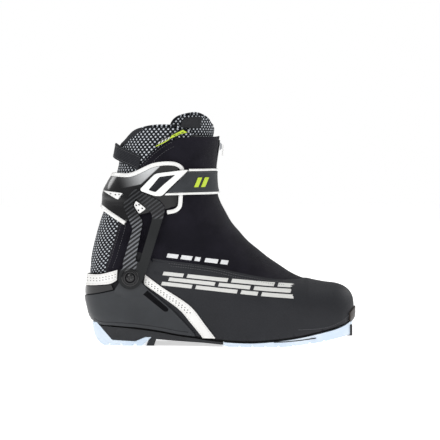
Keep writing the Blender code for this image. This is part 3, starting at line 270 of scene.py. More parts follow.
def round_back(lower, upper, columns):
    """One patch round the heel or the cuff between two side-view lines that start on the back line."""
    share = np.linspace(0, 1, columns)
    lower, upper = (np.asarray(line, float)[:, None, :] for line in (lower, upper))
    points = lower + (upper - lower) * share[None, :, None]
    s, angle = both_of(points)
    angle[0] = math.pi
    return np.vstack([s[:0:-1], s]), np.vstack([-angle[:0:-1], angle])


def one_side(lower, upper, columns, side):
    share = np.linspace(0, 1, columns)[None, :, None]
    lower, upper = (np.asarray(line, float)[:, None, :] for line in (lower, upper))
    points = lower + (upper - lower) * share
    s, angle = both_of(points)
    return s, side * angle


def beside(path, distance):
    path = np.asarray(path, float)
    ahead = np.gradient(path, axis=0)
    left = np.stack([-ahead[:, 1], ahead[:, 0]], axis=1)
    return path + left / np.linalg.norm(left, axis=1, keepdims=True) * distance


def from_back(path):
    path = np.array(path, float)
    path[0, 0] = back_x(path[0, 1])
    return path


def polar(radius, degrees):
    turn = math.radians(degrees)
    return (HINGE_X + radius * math.cos(turn), HINGE_Z + radius * math.sin(turn))


def spaced(points, step):
    out = []
    for a, b in zip(points, [*points[1:], points[0]]):
        count = max(1, math.ceil(math.dist(a, b) / step))
        out += [(a[0] + (b[0] - a[0]) * k / count, a[1] + (b[1] - a[1]) * k / count) for k in range(count)]
    return out


def filleted(points, radius, steps=7):
    out = []
    for before, corner, after in zip([points[-1], *points], points, [*points[1:], points[0]]):
        b, c, a = (np.array(p, float) for p in (before, corner, after))
        reach = min(radius, 0.45 * math.dist(b, c), 0.45 * math.dist(c, a))
        start = c + (b - c) / np.linalg.norm(b - c) * reach
        end = c + (a - c) / np.linalg.norm(a - c) * reach
        for t in np.linspace(0, 1, steps):
            out.append(tuple((1 - t) ** 2 * start + 2 * t * (1 - t) * c + t * t * end))
    return out


def circle(cx, cz, radius, count=20):
    turns = np.arange(count) * 2 * math.pi / count
    return [(cx + radius * math.cos(a), cz + radius * math.sin(a)) for a in turns]


# ---------------------------------------------------------------- meshes


def from_faces(name, points, faces, uv=None):
    mesh = bpy.data.meshes.new(name)
    mesh.from_pydata((np.asarray(points) * MM).tolist(), [], faces)
    if uv is not None:
        layer = mesh.uv_layers.new(name="UVMap")
        index = np.zeros(len(mesh.loops), np.int32)
        mesh.loops.foreach_get("vertex_index", index)
        layer.data.foreach_set("uv", np.asarray(uv, np.float32)[index].ravel())
    mesh.shade_smooth()
    return linked(name, mesh)


def flat_lengths(grid):
    """Arc lengths across and along a grid of points, in millimetres, as texture coordinates."""
    across = np.linalg.norm(np.diff(grid, axis=1), axis=-1)
    across = np.concatenate([np.zeros((len(grid), 1)), np.cumsum(across, axis=1)], axis=1)
    along = np.linalg.norm(np.diff(grid, axis=0), axis=-1)
    along = np.concatenate([np.zeros((1, grid.shape[1])), np.cumsum(along, axis=0)], axis=0)
    across -= across[:, grid.shape[1] // 2][:, None]
    return np.stack([across, along], axis=-1)


def linked(name, data):
    """A new object, in the scene."""
    obj = bpy.data.objects.new(name, data)
    SCENE.collection.objects.link(obj)
    return obj


def quads(rows, cols, first=0):
    index = first + np.arange(rows * cols).reshape(rows, cols)
    return np.stack([index[:-1, :-1], index[:-1, 1:], index[1:, 1:], index[1:, :-1]], -1).reshape(-1, 4)


def edge_bevel(obj, width, segments=3):
    step = obj.modifiers.new("edge", "BEVEL")
    step.width = width * MM
    step.segments = segments
    step.limit_method = "ANGLE"
    step.angle_limit = math.radians(BEVEL_ANGLE)
    even = obj.modifiers.new("normals", "WEIGHTED_NORMAL")
    even.keep_sharp = True
    return obj


def shell(name, grids, offset, thickness, fillet=0.4):
    """Skin patches given a wall: outer and inner faces, welded where patches meet, and closed at the rim."""
    outer, inner, faces, uv = [], [], [], []
    for s, angle in grids:
        x, z = side_view(s, np.abs(signed_angle(angle)))
        level = offset(x, z, angle) if callable(offset) else np.full(s.shape, float(offset))
        wall = thickness(x, z, angle) if callable(thickness) else thickness
        grid = skin(s, angle, level)
        quad = quads(*s.shape, first=sum(len(o) for o in outer))
        faces.append(quad[:, ::-1] if len(outer) % 2 else quad)
        outer.append(grid.reshape(-1, 3))
        inner.append(skin(s, angle, level - wall).reshape(-1, 3))
        uv.append(flat_lengths(grid).reshape(-1, 2))
    outer, inner, uv = np.vstack(outer), np.vstack(inner), np.vstack(uv)
    _, first, to = np.unique(np.round(outer, 2), axis=0, return_index=True, return_inverse=True)
    outer, inner, uv = outer[first], inner[first], uv[first]
    count = len(outer)
    kept = []
    for quad in to.ravel()[np.vstack(faces)]:
        ring = [int(v) for k, v in enumerate(quad) if v != quad[k - 1]]
        if len(set(ring)) == len(ring) >= 3:
            kept.append(ring)
    used = {}
    for ring in kept:
        for a, b in zip(ring, [*ring[1:], ring[0]]):
            used[(a, b)] = used.get((a, b), 0) + 1
    rim = [(a, b) for a, b in used if (b, a) not in used]
    walls = [(b, a, a + count, b + count) for a, b in rim]
    back = [[v + count for v in reversed(ring)] for ring in kept]
    obj = from_faces(name, np.vstack([outer, inner]), kept + back + walls, np.vstack([uv, uv]))
    outward(obj)
    return edge_bevel(obj, fillet) if fillet else obj


def outward(obj):
    bm = bmesh.new()
    bm.from_mesh(obj.data)
    bmesh.ops.remove_doubles(bm, verts=bm.verts, dist=1e-7)
    bmesh.ops.recalc_face_normals(bm, faces=bm.faces)
    if bm.calc_volume(signed=True) < 0:
        bmesh.ops.reverse_faces(bm, faces=bm.faces)
    bm.to_mesh(obj.data)
    bm.free()


def baked(obj):
    bpy.context.view_layer.update()
    mesh = bpy.data.meshes.new_from_object(obj.evaluated_get(bpy.context.evaluated_depsgraph_get()))
    mesh.transform(obj.matrix_world)
    bpy.data.objects.remove(obj)
    return mesh


def flat_outline(name, outlines):
    curve = bpy.data.curves.new(name, "CURVE")
    curve.dimensions = "2D"
    curve.fill_mode = "BOTH"
    curve.extrude = 1.0
    for outline in outlines:
        spline = curve.splines.new("POLY")
        spline.points.add(len(outline) - 1)
        for point, (u, v) in zip(spline.points, outline):
            point.co = (u, v, 0, 1)
        spline.use_cyclic_u = True
    holder = linked(name, curve)
    return baked(holder)


def plate(name, outlines, place, step=2.5, fillet=0.4):
    """A side-view outline with thickness, cut into squares and laid where place(x, z, is_outer) says."""
    mesh = flat_outline(name, outlines)
    bm = bmesh.new()
    bm.from_mesh(mesh)
    bmesh.ops.remove_doubles(bm, verts=bm.verts, dist=1e-4)
    for axis in (0, 1):
        reach = [vert.co[axis] for vert in bm.verts]
        normal = Vector((1 - axis, axis, 0))
        for cut in np.arange(min(reach) + step, max(reach) - 0.4, step):
            everything = [*bm.verts, *bm.edges, *bm.faces]
            bmesh.ops.bisect_plane(bm, geom=everything, plane_co=normal * cut, plane_no=normal, dist=1e-4)
    bm.verts.ensure_lookup_table()
    flat = np.array([vert.co for vert in bm.verts])
    for is_outer in (False, True):
        chosen = (flat[:, 2] > 0) == is_outer
        points = place(flat[chosen, 0], flat[chosen, 1], is_outer)
        for k, point in zip(np.flatnonzero(chosen), points):
            bm.verts[k].co = point * MM
    bmesh.ops.recalc_face_normals(bm, faces=bm.faces)
    if bm.calc_volume(signed=True) < 0:
        bmesh.ops.reverse_faces(bm, faces=bm.faces)
    bm.to_mesh(mesh)
    bm.free()
    mesh.shade_smooth()
    obj = linked(name, mesh)
    return edge_bevel(obj, fillet, 2) if fillet else obj


def skin_plate(name, outlines, side, base, low, high, step=2.5, fillet=0.3):
    """A plate on the skin, from base + low to base + high off it; base is a number or a function."""

    def place(x, z, is_outer):
        level = base(x, z) if callable(base) else base
        return on_skin(x, z, side, level + (high if is_outer else low))

    return plate(name, outlines, place, step, fillet)


def side_prism(name, outline, low_y, high_y):
    def place(x, z, is_outer):
        return np.stack([x, np.full_like(x, high_y if is_outer else low_y), z], axis=-1)

    return plate(name, [outline], place, step=1e4, fillet=0)


def plan_prism(name, outline, low_z, high_z):
    def place(x, y, is_outer):
        return np.stack([x, y, np.full_like(x, high_z if is_outer else low_z)], axis=-1)

    return plate(name, [outline], place, step=1e4, fillet=0)


def turned(name, profile, centre, side, steps=64):
    """A profile of (radius, distance from the mid-plane) turned about a line along Y."""
    turns = np.arange(steps) * 2 * math.pi / steps
    radius, height = np.array(profile, float).T
    x = centre[0] + radius[:, None] * np.cos(turns)
    z = centre[1] + radius[:, None] * np.sin(turns)
    y = np.broadcast_to(side * height[:, None], x.shape)
    ring = np.arange(steps)
    faces = []
    for k in range(len(profile) - 1):
        a, b = k * steps + ring, k * steps + (ring + 1) % steps
        faces += np.stack([a, b, b + steps, a + steps], -1).tolist()
    obj = from_faces(name, np.stack([x, y, z], -1).reshape(-1, 3), faces)
    outward(obj)
    obj.data.set_sharp_from_angle(angle=math.radians(32))
    return obj


def combine(obj, cutter, operation):
    """The Boolean of two objects, applied; the cutter is removed."""
    step = obj.modifiers.new("cut", "BOOLEAN")
    step.operation = operation
    step.object = cutter
    step.solver = "EXACT"
    name = obj.name
    mesh = baked(obj)
    bpy.data.objects.remove(cutter)
    mesh.shade_smooth()
    piece = linked(name, mesh)
    piece.name = name
    return piece


def tube(name, points, radius, resolution=3):
    curve = bpy.data.curves.new(name, "CURVE")
    curve.dimensions = "3D"
    curve.bevel_depth = radius * MM
    curve.bevel_resolution = resolution
    curve.use_fill_caps = True
    spline = curve.splines.new("POLY")
    spline.points.add(len(points) - 1)
    for point, place in zip(spline.points, points):
        point.co = (*[c * MM for c in place], 1)
    holder = linked(name + "_line", curve)
    mesh = baked(holder)
    mesh.shade_smooth()
    return linked(name, mesh)


STITCH_RING = 6


def stitches(name, paths, pitch=2.6, length=1.8, radius=0.27):
    """Thread along paths of (points, normals): each stitch is a small capsule that dips at its ends."""
    points, faces = [], []
    turns = np.arange(STITCH_RING) * 2 * math.pi / STITCH_RING
    shares = [(-0.5, 0.25, -0.35), (-0.3, 0.9, 0.1), (0, 1.0, 0.22), (0.3, 0.9, 0.1), (0.5, 0.25, -0.35)]
    for line, normals in paths:
        run = np.concatenate([[0], np.cumsum(np.linalg.norm(np.diff(line, axis=0), axis=1))])
        for at in np.arange(pitch / 2, run[-1] - pitch / 2, pitch):
            here, ahead, up = (
                np.array([np.interp(where, run, values[:, k]) for k in range(3)])
                for where, values in ((at, line), (at + 0.4, line), (at, normals))
            )
            along = ahead - here
            along /= np.linalg.norm(along) + 1e-9
            up /= np.linalg.norm(up) + 1e-9
            beside_it = np.cross(along, up)
            first = len(points)
            for share, width, lift in shares:
                middle = here + along * share * length + up * lift * radius * 2
                for turn in turns:
                    spoke = beside_it * math.cos(turn) + up * math.sin(turn)
                    points.append(middle + radius * width * spoke)
            for k in range(len(shares) - 1):
                for j in range(STITCH_RING):
                    a, b = first + k * STITCH_RING + j, first + k * STITCH_RING + (j + 1) % STITCH_RING
                    faces.append((a, b, b + STITCH_RING, a + STITCH_RING))
            last = first + (len(shares) - 1) * STITCH_RING
            faces.append(tuple(range(first + STITCH_RING - 1, first - 1, -1)))
            faces.append(tuple(range(last, last + STITCH_RING)))
    obj = from_faces(name, points, faces)
    outward(obj)
    return obj


def skin_path(line, side, offset, count=120):
    """A side-view line laid on the skin, with its normals, for stitches."""
    x, z = resample(line, count).T
    return on_skin(x, z, side, offset), on_skin(x, z, side, offset + 1) - on_skin(x, z, side, offset)


def grid_path(s, angle, offset):
    s, angle = np.asarray(s, float), np.asarray(angle, float)
    level = np.broadcast_to(offset, s.shape)
    return skin(s, angle, level), skin(s, angle, level + 1) - skin(s, angle, level)


# ---------------------------------------------------------------- materials

MATERIALS = {}


class Nodes:
    """A short way to write a material's node tree."""

    def __init__(self, name, color, roughness, metallic=0.0, sheen=0.0, coat=0.0, specular=0.5):
        self.material = bpy.data.materials.new(name)
        self.material.use_nodes = True
        self.tree = self.material.node_tree
        self.shader = self.tree.nodes["Principled BSDF"]
        self.shader.inputs["Base Color"].default_value = (*color, 1)
        self.shader.inputs["Roughness"].default_value = roughness
        self.shader.inputs["Metallic"].default_value = metallic
        self.shader.inputs["Sheen Weight"].default_value = sheen
        self.shader.inputs["Sheen Roughness"].default_value = 0.5
        self.shader.inputs["Coat Weight"].default_value = coat
        self.shader.inputs["Coat Roughness"].default_value = 0.12
        self.shader.inputs["Specular IOR Level"].default_value = specular
        MATERIALS[name] = self.material

    def add(self, kind, **values):
        node = self.tree.nodes.new(kind)
        for key, value in values.items():
            setattr(node, key, value)
        return node

    def link(self, source, target):
        self.tree.links.new(source, target)
        return self

    def place(self, source="Object", scale=(PER_METRE, PER_METRE, PER_METRE)):
        """Coordinates in millimetres: Object for a position, UV for the cloth's own lengths."""
        coordinates = self.add("ShaderNodeTexCoord")
        mapping = self.add("ShaderNodeMapping")
        mapping.inputs["Scale"].default_value = scale
        self.link(coordinates.outputs[source], mapping.inputs["Vector"])
        return mapping.outputs["Vector"]

    def math(self, operation, a, b=None):
        node = self.add("ShaderNodeMath", operation=operation)
        for k, value in enumerate((a, b)):
            if value is None:
                continue
            if isinstance(value, (int, float)):
                node.inputs[k].default_value = value
            else:
                self.link(value, node.inputs[k])
        return node.outputs[0]

    def times(self, a, b):
        return self.math("MULTIPLY", a, b)

    def over(self, a, b):
        return self.math("DIVIDE", a, b)

    def plus(self, a, b):
        return self.math("ADD", a, b)

    def minus(self, a, b):
        return self.math("SUBTRACT", a, b)

    def axes(self, vector):
        node = self.add("ShaderNodeSeparateXYZ")
        self.link(vector, node.inputs[0])
        return node.outputs

    def noise(self, vector, scale, detail=2.0, rough=0.5):
        node = self.add("ShaderNodeTexNoise")
        node.inputs["Scale"].default_value = scale
        node.inputs["Detail"].default_value = detail
        node.inputs["Roughness"].default_value = rough
        self.link(vector, node.inputs["Vector"])
        return node.outputs["Fac"]

    def cells(self, vector, scale):
        node = self.add("ShaderNodeTexVoronoi", feature="F1")
        node.inputs["Scale"].default_value = scale
        self.link(vector, node.inputs["Vector"])
        return node.outputs["Distance"]

    def ramp(self, value, low, high, to_low=0.0, to_high=1.0):
        node = self.add("ShaderNodeMapRange")
        node.interpolation_type = "SMOOTHSTEP"
        for key, number in (("From Min", low), ("From Max", high), ("To Min", to_low), ("To Max", to_high)):
            node.inputs[key].default_value = number
        self.link(value, node.inputs["Value"])
        return node.outputs["Result"]

    def mix(self, share, low, high):
        node = self.add("ShaderNodeMix", data_type="RGBA")
        self.link(share, node.inputs["Factor"])
        for value, socket in ((low, node.inputs[6]), (high, node.inputs[7])):
            if isinstance(value, tuple):
                socket.default_value = (*value, 1)
            else:
                self.link(value, socket)
        return node.outputs[2]

    def paint(self, share, low, high):
        self.link(self.mix(share, low, high), self.shader.inputs["Base Color"])
        return self

    def rough(self, share, low, high):
        self.link(self.ramp(share, 0, 1, low, high), self.shader.inputs["Roughness"])
        return self

    def bump(self, height, depth=0.1, strength=1.0):
        """Height from 0 to 1, standing depth millimetres out."""
        node = self.add("ShaderNodeBump")
        node.inputs["Distance"].default_value = depth * MM
        node.inputs["Strength"].default_value = strength
        self.link(height, node.inputs["Height"])
        taken = self.shader.inputs["Normal"]
        if taken.is_linked:
            self.link(taken.links[0].from_socket, node.inputs["Normal"])
        self.link(node.outputs["Normal"], taken)
        return self

    def staggered(self, vector, pitch_u, pitch_v):
        """Distance from the nearest of a staggered grid of points, in millimetres."""
        u, v = self.axes(vector)[:2]
        row = self.over(v, pitch_v)
        shift = self.times(self.math("MODULO", self.math("FLOOR", row), 2.0), 0.5)
        shift = self.math("ABSOLUTE", shift)
        col = self.plus(self.over(u, pitch_u), shift)
        du = self.times(self.minus(self.math("FRACT", col), 0.5), pitch_u)
        dv = self.times(self.minus(self.math("FRACT", row), 0.5), pitch_v)
        return self.math("SQRT", self.plus(self.times(du, du), self.times(dv, dv)))

    def weave(self, vector, pitch):
        """Height of a plain weave."""
        u, v = self.axes(vector)[:2]
        over = self.math("SINE", self.times(u, 2 * math.pi / pitch))
        under = self.math("SINE", self.times(v, 2 * math.pi / pitch))
        return self.ramp(self.times(over, under), -1, 1)


def weave_3d(n, vector, pitch):
    """A plain weave for shapes without a flat layout."""
    x, y, z = n.axes(vector)
    u = n.plus(n.times(x, 0.8), n.times(y, 0.6))
    over = n.math("SINE", n.times(u, 2 * math.pi / pitch))
    under = n.math("SINE", n.times(z, 2 * math.pi / pitch))
    return n.ramp(n.times(over, under), -1, 1)


def dotted_mesh(name, source):
    n = Nodes(name, (0.013, 0.015, 0.019), 0.72, specular=0.15)
    spot = n.place(source, (1, 1, 1) if source == "UV" else (PER_METRE, PER_METRE, PER_METRE))
    dot = n.ramp(n.staggered(spot, 4.5, 2.8), 0.74, 1.16, 1, 0)
    knit = n.weave(spot, 0.9)
    shade = n.ramp(n.noise(n.place(), 0.08, 3), 0.3, 0.7)
    ground = n.mix(n.times(knit, shade), (0.005, 0.006, 0.008), (0.02, 0.022, 0.028))
    n.paint(dot, ground, (0.55, 0.58, 0.62))
    n.bump(knit, 0.25, 0.6).bump(dot, 0.28, 0.8)


# name, colour, roughness, other settings, scale and detail of the patches, their two colours,
# scale and detail of the grain, depth and strength of its relief
SPECKLED = [
    ("print_silver", (0.7, 0.7, 0.71), 0.4, {}, (0.4, 3), (0.62, 0.63, 0.65),
     (0.74, 0.74, 0.75), (2.0, 2), (0.03, 0.5)),
    ("print_dark", (0.02, 0.021, 0.023), 0.5, {"specular": 0.1}, (0.4, 3), (0.013, 0.013, 0.015),
     (0.03, 0.031, 0.034), (2, 2), (0.03, 0.5)),
    ("board", (0.30, 0.27, 0.22), 0.85, {}, (1.0, 5), (0.22, 0.19, 0.15),
     (0.36, 0.33, 0.27), (1.5, 4), (0.1, 0.7)),
    ("thread_dark", (0.03, 0.03, 0.034), 0.6, {"sheen": 0.2}, (2.0, 2), (0.035, 0.035, 0.04),
     (0.09, 0.09, 0.1), (4, 2), (0.05, 0.6)),
    ("thread_light", (0.62, 0.62, 0.60), 0.55, {"sheen": 0.1}, (2.0, 2), (0.50, 0.50, 0.48),
     (0.72, 0.72, 0.70), (4, 2), (0.05, 0.6)),
    ("hole_dark", (0.012, 0.012, 0.013), 0.8, {"specular": 0.05}, (1.0, 2), (0.002, 0.002, 0.003),
     (0.008, 0.008, 0.009), (2, 2), (0.05, 0.5)),
    ("zipper", (0.018, 0.018, 0.02), 0.36, {}, (0.5, 3), (0.012, 0.012, 0.013),
     (0.035, 0.035, 0.038), (3, 2), (0.05, 0.5)),
]


def speckled():
    """Materials that are one mottled colour with a fine grain."""
    for name, color, roughness, extra, patches, low, high, grain, relief in SPECKLED:
        n = Nodes(name, color, roughness, **extra)
        spot = n.place()
        n.paint(n.noise(spot, *patches), low, high).bump(n.noise(spot, *grain), *relief)


def make_materials():
    speckled()
    n = Nodes("icy_rubber", (0.66, 0.75, 0.86), 0.42, specular=0.5)
    spot = n.place()
    cloud = n.ramp(n.noise(spot, 0.03, 4), 0.3, 0.7)
    scuffs = n.ramp(n.noise(n.place(scale=(300, 300, 2600)), 0.2, 5, 0.7), 0.58, 0.72)
    low = n.ramp(n.axes(spot)[2], 0, 9, 1, 0)
    wear = n.times(n.times(scuffs, low), 0.35)
    n.paint(wear, n.mix(cloud, (0.60, 0.71, 0.84), (0.72, 0.80, 0.89)), (0.42, 0.46, 0.50))
    n.rough(scuffs, 0.38, 0.6).bump(n.noise(spot, 1.6, 3), 0.05, 0.5)

    n = Nodes("black_rubber", (0.025, 0.025, 0.027), 0.66)
    n.paint(n.noise(n.place(), 0.3, 4), (0.014, 0.014, 0.015), (0.04, 0.04, 0.043))
    n.bump(n.noise(n.place(), 2.2, 4), 0.08, 0.7)

    n = Nodes("brown_rubber", (0.04, 0.028, 0.022), 0.42)
    spot = n.place()
    n.paint(n.noise(spot, 0.2, 4), (0.018, 0.014, 0.012), (0.042, 0.031, 0.026))
    n.rough(n.noise(spot, 0.6, 3), 0.34, 0.56).bump(n.noise(spot, 2.4, 4), 0.06, 0.6)

    n = Nodes("chassis", (0.03, 0.032, 0.036), 0.46, specular=0.35)
    spot = n.place()
    n.paint(n.noise(spot, 0.12, 4), (0.010, 0.011, 0.013), (0.024, 0.025, 0.029))
    n.rough(n.noise(spot, 0.5, 3), 0.36, 0.6).bump(n.noise(spot, 2.8, 3), 0.05, 0.6)

    n = Nodes("heel_plastic", (0.03, 0.033, 0.037), 0.36, specular=0.35)
    spot = n.place()
    n.paint(n.noise(spot, 0.06, 4), (0.017, 0.019, 0.022), (0.029, 0.032, 0.037))
    n.rough(n.noise(n.place(scale=(700, 700, 3000)), 0.4, 4), 0.3, 0.5).bump(n.noise(spot, 4, 2), 0.03, 0.5)

    n = Nodes("gloss_black", (0.006, 0.006, 0.007), 0.07, coat=0.3, specular=0.3)
    spot = n.place()
    n.rough(n.noise(n.place(scale=(400, 400, 2400)), 0.5, 5, 0.7), 0.04, 0.16)
    n.bump(n.noise(spot, 0.08, 2), 0.25, 0.35)

    n = Nodes("cuff_gloss", (0.006, 0.006, 0.007), 0.1, coat=0.25, specular=0.25)
    spot = n.place()
    x, _, z = n.axes(spot)
    # Painted reflection: the grey gradient above the ridge, brightening towards the front and cut off at the
    # front edge, is a softbox reflection on the gloss black, painted into the colour.
    over_ridge = n.minus(z, n.plus(166.0, n.times(n.plus(x, 129.0), 0.22)))
    band = n.ramp(over_ridge, -0.6, 0.6)
    fade = n.plus(x, n.times(n.minus(z, 180.0), 0.5))
    fade = n.ramp(fade, -113.0, -66.0)
    front = n.minus(n.minus(z, 164.5), n.times(n.plus(x, 97.0), 0.933))
    fade = n.times(fade, n.ramp(front, -0.8, 1.2))
    grain = n.ramp(n.noise(spot, 1.2, 2), 0.3, 0.7, 0.9, 1.0)
    painted_reflection_share = n.times(n.times(band, fade), grain)
    n.paint(painted_reflection_share, (0.007, 0.007, 0.008), (0.60, 0.61, 0.62))
    n.link(n.ramp(painted_reflection_share, 0, 1, 0.2, 0.36), n.shader.inputs["Roughness"])
    n.bump(n.noise(spot, 0.08, 2), 0.2, 0.3)

    n = Nodes("carbon", (0.012, 0.012, 0.013), 0.2, coat=0.08, specular=0.2)
    spot = n.place()
    x, _, z = n.axes(spot)
    mask = n.minus(x, n.plus(-89.0, n.times(n.minus(z, 92.0), 0.219)))
    high = n.ramp(z, 137.5, 140.5)
    rear = n.math("MAXIMUM", n.ramp(mask, -0.6, 0.6, 1, 0), high)
    low_end = n.ramp(z, 80, 86)
    rear = n.times(rear, low_end)
    # Partly real, partly painted highlight: the twill weave is the carbon's own, but its light grey stripes,
    # fading upwards from z 132 to 146 mm, are highlight painted into the colour.
    slope = n.minus(n.times(z, 0.80), n.times(x, 0.60))
    stripe = n.math("FRACT", n.over(slope, 3.7))
    stripe = n.times(n.ramp(stripe, 0.0, 0.3), n.ramp(stripe, 0.38, 0.72, 1, 0))
    stripe = n.times(stripe, n.ramp(z, 132, 146, 1.0, 0.22))
    cross = n.math("FRACT", n.over(n.plus(z, n.times(x, 0.45)), 1.45))
    tow = n.ramp(n.math("ABSOLUTE", n.minus(cross, 0.5)), 0.18, 0.5, 1.0, 0.35)
    twill = n.times(stripe, tow)
    fiber = n.ramp(n.noise(n.place(scale=(900, 900, 5200)), 0.9, 3), 0.2, 0.8, 0.7, 1.0)
    twill = n.times(twill, fiber)
    twill_with_painted_highlight = n.mix(twill, (0.006, 0.006, 0.007), (0.24, 0.25, 0.27))
    n.paint(rear, (0.010, 0.011, 0.012), twill_with_painted_highlight)
    n.link(n.ramp(rear, 0, 1, 0.5, 0.2), n.shader.inputs["Roughness"])
    n.bump(n.times(twill, rear), 0.08, 0.6)

    n = Nodes("white_trim", (0.80, 0.80, 0.79), 0.33, coat=0.15)
    spot = n.place()
    dirt = n.ramp(n.noise(spot, 0.05, 5, 0.6), 0.45, 0.8)
    n.paint(dirt, (0.83, 0.83, 0.82), (0.72, 0.715, 0.69))
    streaks = n.noise(n.place(scale=(500, 500, 2400)), 0.4, 4)
    n.rough(streaks, 0.26, 0.46).bump(n.noise(spot, 2.5, 3), 0.03, 0.5)

    n = Nodes("white_leather", (0.80, 0.795, 0.78), 0.46, sheen=0.05)
    spot = n.place()
    dirt = n.ramp(n.noise(spot, 0.06, 5, 0.6), 0.45, 0.85)
    grain = n.cells(spot, 1.1)
    n.paint(dirt, (0.83, 0.825, 0.81), (0.70, 0.69, 0.66))
    n.rough(grain, 0.4, 0.6).bump(grain, 0.07, 0.6)

    n = Nodes("vamp_leather", (0.02, 0.021, 0.024), 0.5, specular=0.24)
    spot = n.place()
    warped = n.cells(spot, 0.75)
    pores = n.ramp(n.cells(spot, 1.6), 0.0, 0.5)
    tone = n.ramp(n.noise(spot, 0.03, 3), 0.2, 0.8, 0.7, 1.0)
    n.paint(n.times(tone, pores), (0.007, 0.0075, 0.0095), (0.017, 0.018, 0.022))
    n.rough(warped, 0.40, 0.60).bump(warped, 0.12, 0.6).bump(n.noise(spot, 0.12, 3), 0.4, 0.2)

    n = Nodes("softshell", (0.0145, 0.0135, 0.019), 0.85, sheen=0.06, specular=0.1)
    cloth = n.place("UV", (1, 1, 1))
    twill = n.weave(cloth, 0.75)
    tone = n.ramp(n.noise(n.place(), 0.04, 4), 0.3, 0.7)
    n.paint(n.times(twill, tone), (0.0055, 0.005, 0.0085), (0.015, 0.0135, 0.021))
    n.bump(twill, 0.14, 0.7).bump(n.noise(n.place(), 0.06, 5), 1.0, 0.35)

    n = Nodes("liner", (0.045, 0.046, 0.05), 0.9, sheen=0.3)
    spot = n.place()
    knit = weave_3d(n, spot, 1.3)
    n.paint(knit, (0.022, 0.023, 0.026), (0.06, 0.062, 0.068))
    n.bump(knit, 0.3, 0.8).bump(n.noise(spot, 0.1, 3), 0.8, 0.4)

    n = Nodes("binding", (0.02, 0.02, 0.023), 0.7, specular=0.15)
    spot = n.place()
    knit = weave_3d(n, spot, 0.8)
    n.paint(knit, (0.012, 0.012, 0.014), (0.035, 0.036, 0.041)).bump(knit, 0.2, 0.7)

    n = Nodes("webbing", (0.045, 0.048, 0.053), 0.72, specular=0.15)
    cloth = n.place("UV", (1, 1, 1))
    u, v = n.axes(cloth)[:2]
    rib = n.ramp(n.math("SINE", n.times(v, 2 * math.pi / 1.6)), -1, 1)
    thread = n.ramp(n.math("SINE", n.times(u, 2 * math.pi / 0.8)), -1, 1)
    height = n.times(rib, n.ramp(thread, 0, 1, 0.6, 1.0))
    n.paint(height, (0.008, 0.0085, 0.011), (0.034, 0.036, 0.042)).bump(height, 0.3, 0.8)

    n = Nodes("strap_face", (0.045, 0.049, 0.054), 0.6, specular=0.25)
    cloth = n.place("UV", (1, 1, 1))
    u, v = n.axes(cloth)[:2]
    leaning = n.plus(n.times(u, 0.83), n.times(v, 0.55))
    line = n.math("FRACT", n.over(leaning, 1.5))
    line = n.times(n.ramp(line, 0.05, 0.4), n.ramp(line, 0.6, 0.95, 1, 0))
    tone = n.ramp(n.noise(n.place(), 0.07, 3), 0.3, 0.7, 0.6, 1)
    n.paint(n.times(line, tone), (0.014, 0.016, 0.019), (0.046, 0.050, 0.056))
    n.bump(line, 0.16, 0.7)

    n = Nodes("steel", (0.50, 0.51, 0.53), 0.28, metallic=1.0)
    brushed = n.noise(n.place(scale=(500, 4000, 500)), 0.5, 4, 0.7)
    n.paint(brushed, (0.42, 0.43, 0.45), (0.60, 0.61, 0.63)).rough(brushed, 0.2, 0.42)

    n = Nodes("button_metal", (0.30, 0.31, 0.33), 0.3, metallic=1.0)
    brushed = n.noise(n.place(scale=(2500, 300, 2500)), 0.3, 4, 0.7)
    n.paint(brushed, (0.22, 0.23, 0.25), (0.40, 0.41, 0.44)).rough(brushed, 0.24, 0.42)

    n = Nodes("lime", (0.52, 0.66, 0.03), 0.45)
    spot = n.place()
    knit = weave_3d(n, spot, 0.7)
    n.paint(n.ramp(knit, 0, 1, 0.0, 0.6), (0.53, 0.68, 0.035), (0.42, 0.56, 0.025)).bump(knit, 0.08, 0.6)

    n = Nodes("lace", (0.07, 0.07, 0.075), 0.7, sheen=0.2)
    spot = n.place()
    braid = n.weave(spot, 0.7)
    n.paint(braid, (0.03, 0.03, 0.033), (0.10, 0.10, 0.108)).bump(braid, 0.2, 0.8)

    n = Nodes("black_stitch_fabric", (0.018, 0.018, 0.022), 0.8, specular=0.15)
    spot = n.place()
    knit = weave_3d(n, spot, 0.9)
    n.paint(knit, (0.010, 0.010, 0.012), (0.032, 0.032, 0.037)).bump(knit, 0.16, 0.7)

    dotted_mesh("mesh", "UV")

    n = Nodes("floor", (0.93, 0.93, 0.93), 0.7, specular=0.2)
    n.shader.inputs["Emission Color"].default_value = (1, 1, 1, 1)
    n.shader.inputs["Emission Strength"].default_value = 0.6
    n.paint(n.noise(n.place(scale=(1, 1, 1)), 3.0, 3), (0.93, 0.93, 0.93), (0.94, 0.94, 0.94))


def finish(obj, material):
    obj.data.materials.clear()
    obj.data.materials.append(MATERIALS[material])
    return obj


def made(obj, material, body, replaces=()):
    """Gives a finished piece its material and its body, and hides the CAD nodes it stands for."""
    finish(obj, material)
    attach(obj, body)
    if replaces:
        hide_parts(*replaces)
    return obj


# ---------------------------------------------------------------- the camera, the floor and the lights

TARGET = Vector((0.0, 0.0, 0.1355))
DISTANCE, ELEVATION = 2.2, 2.0
FIELD = 0.484


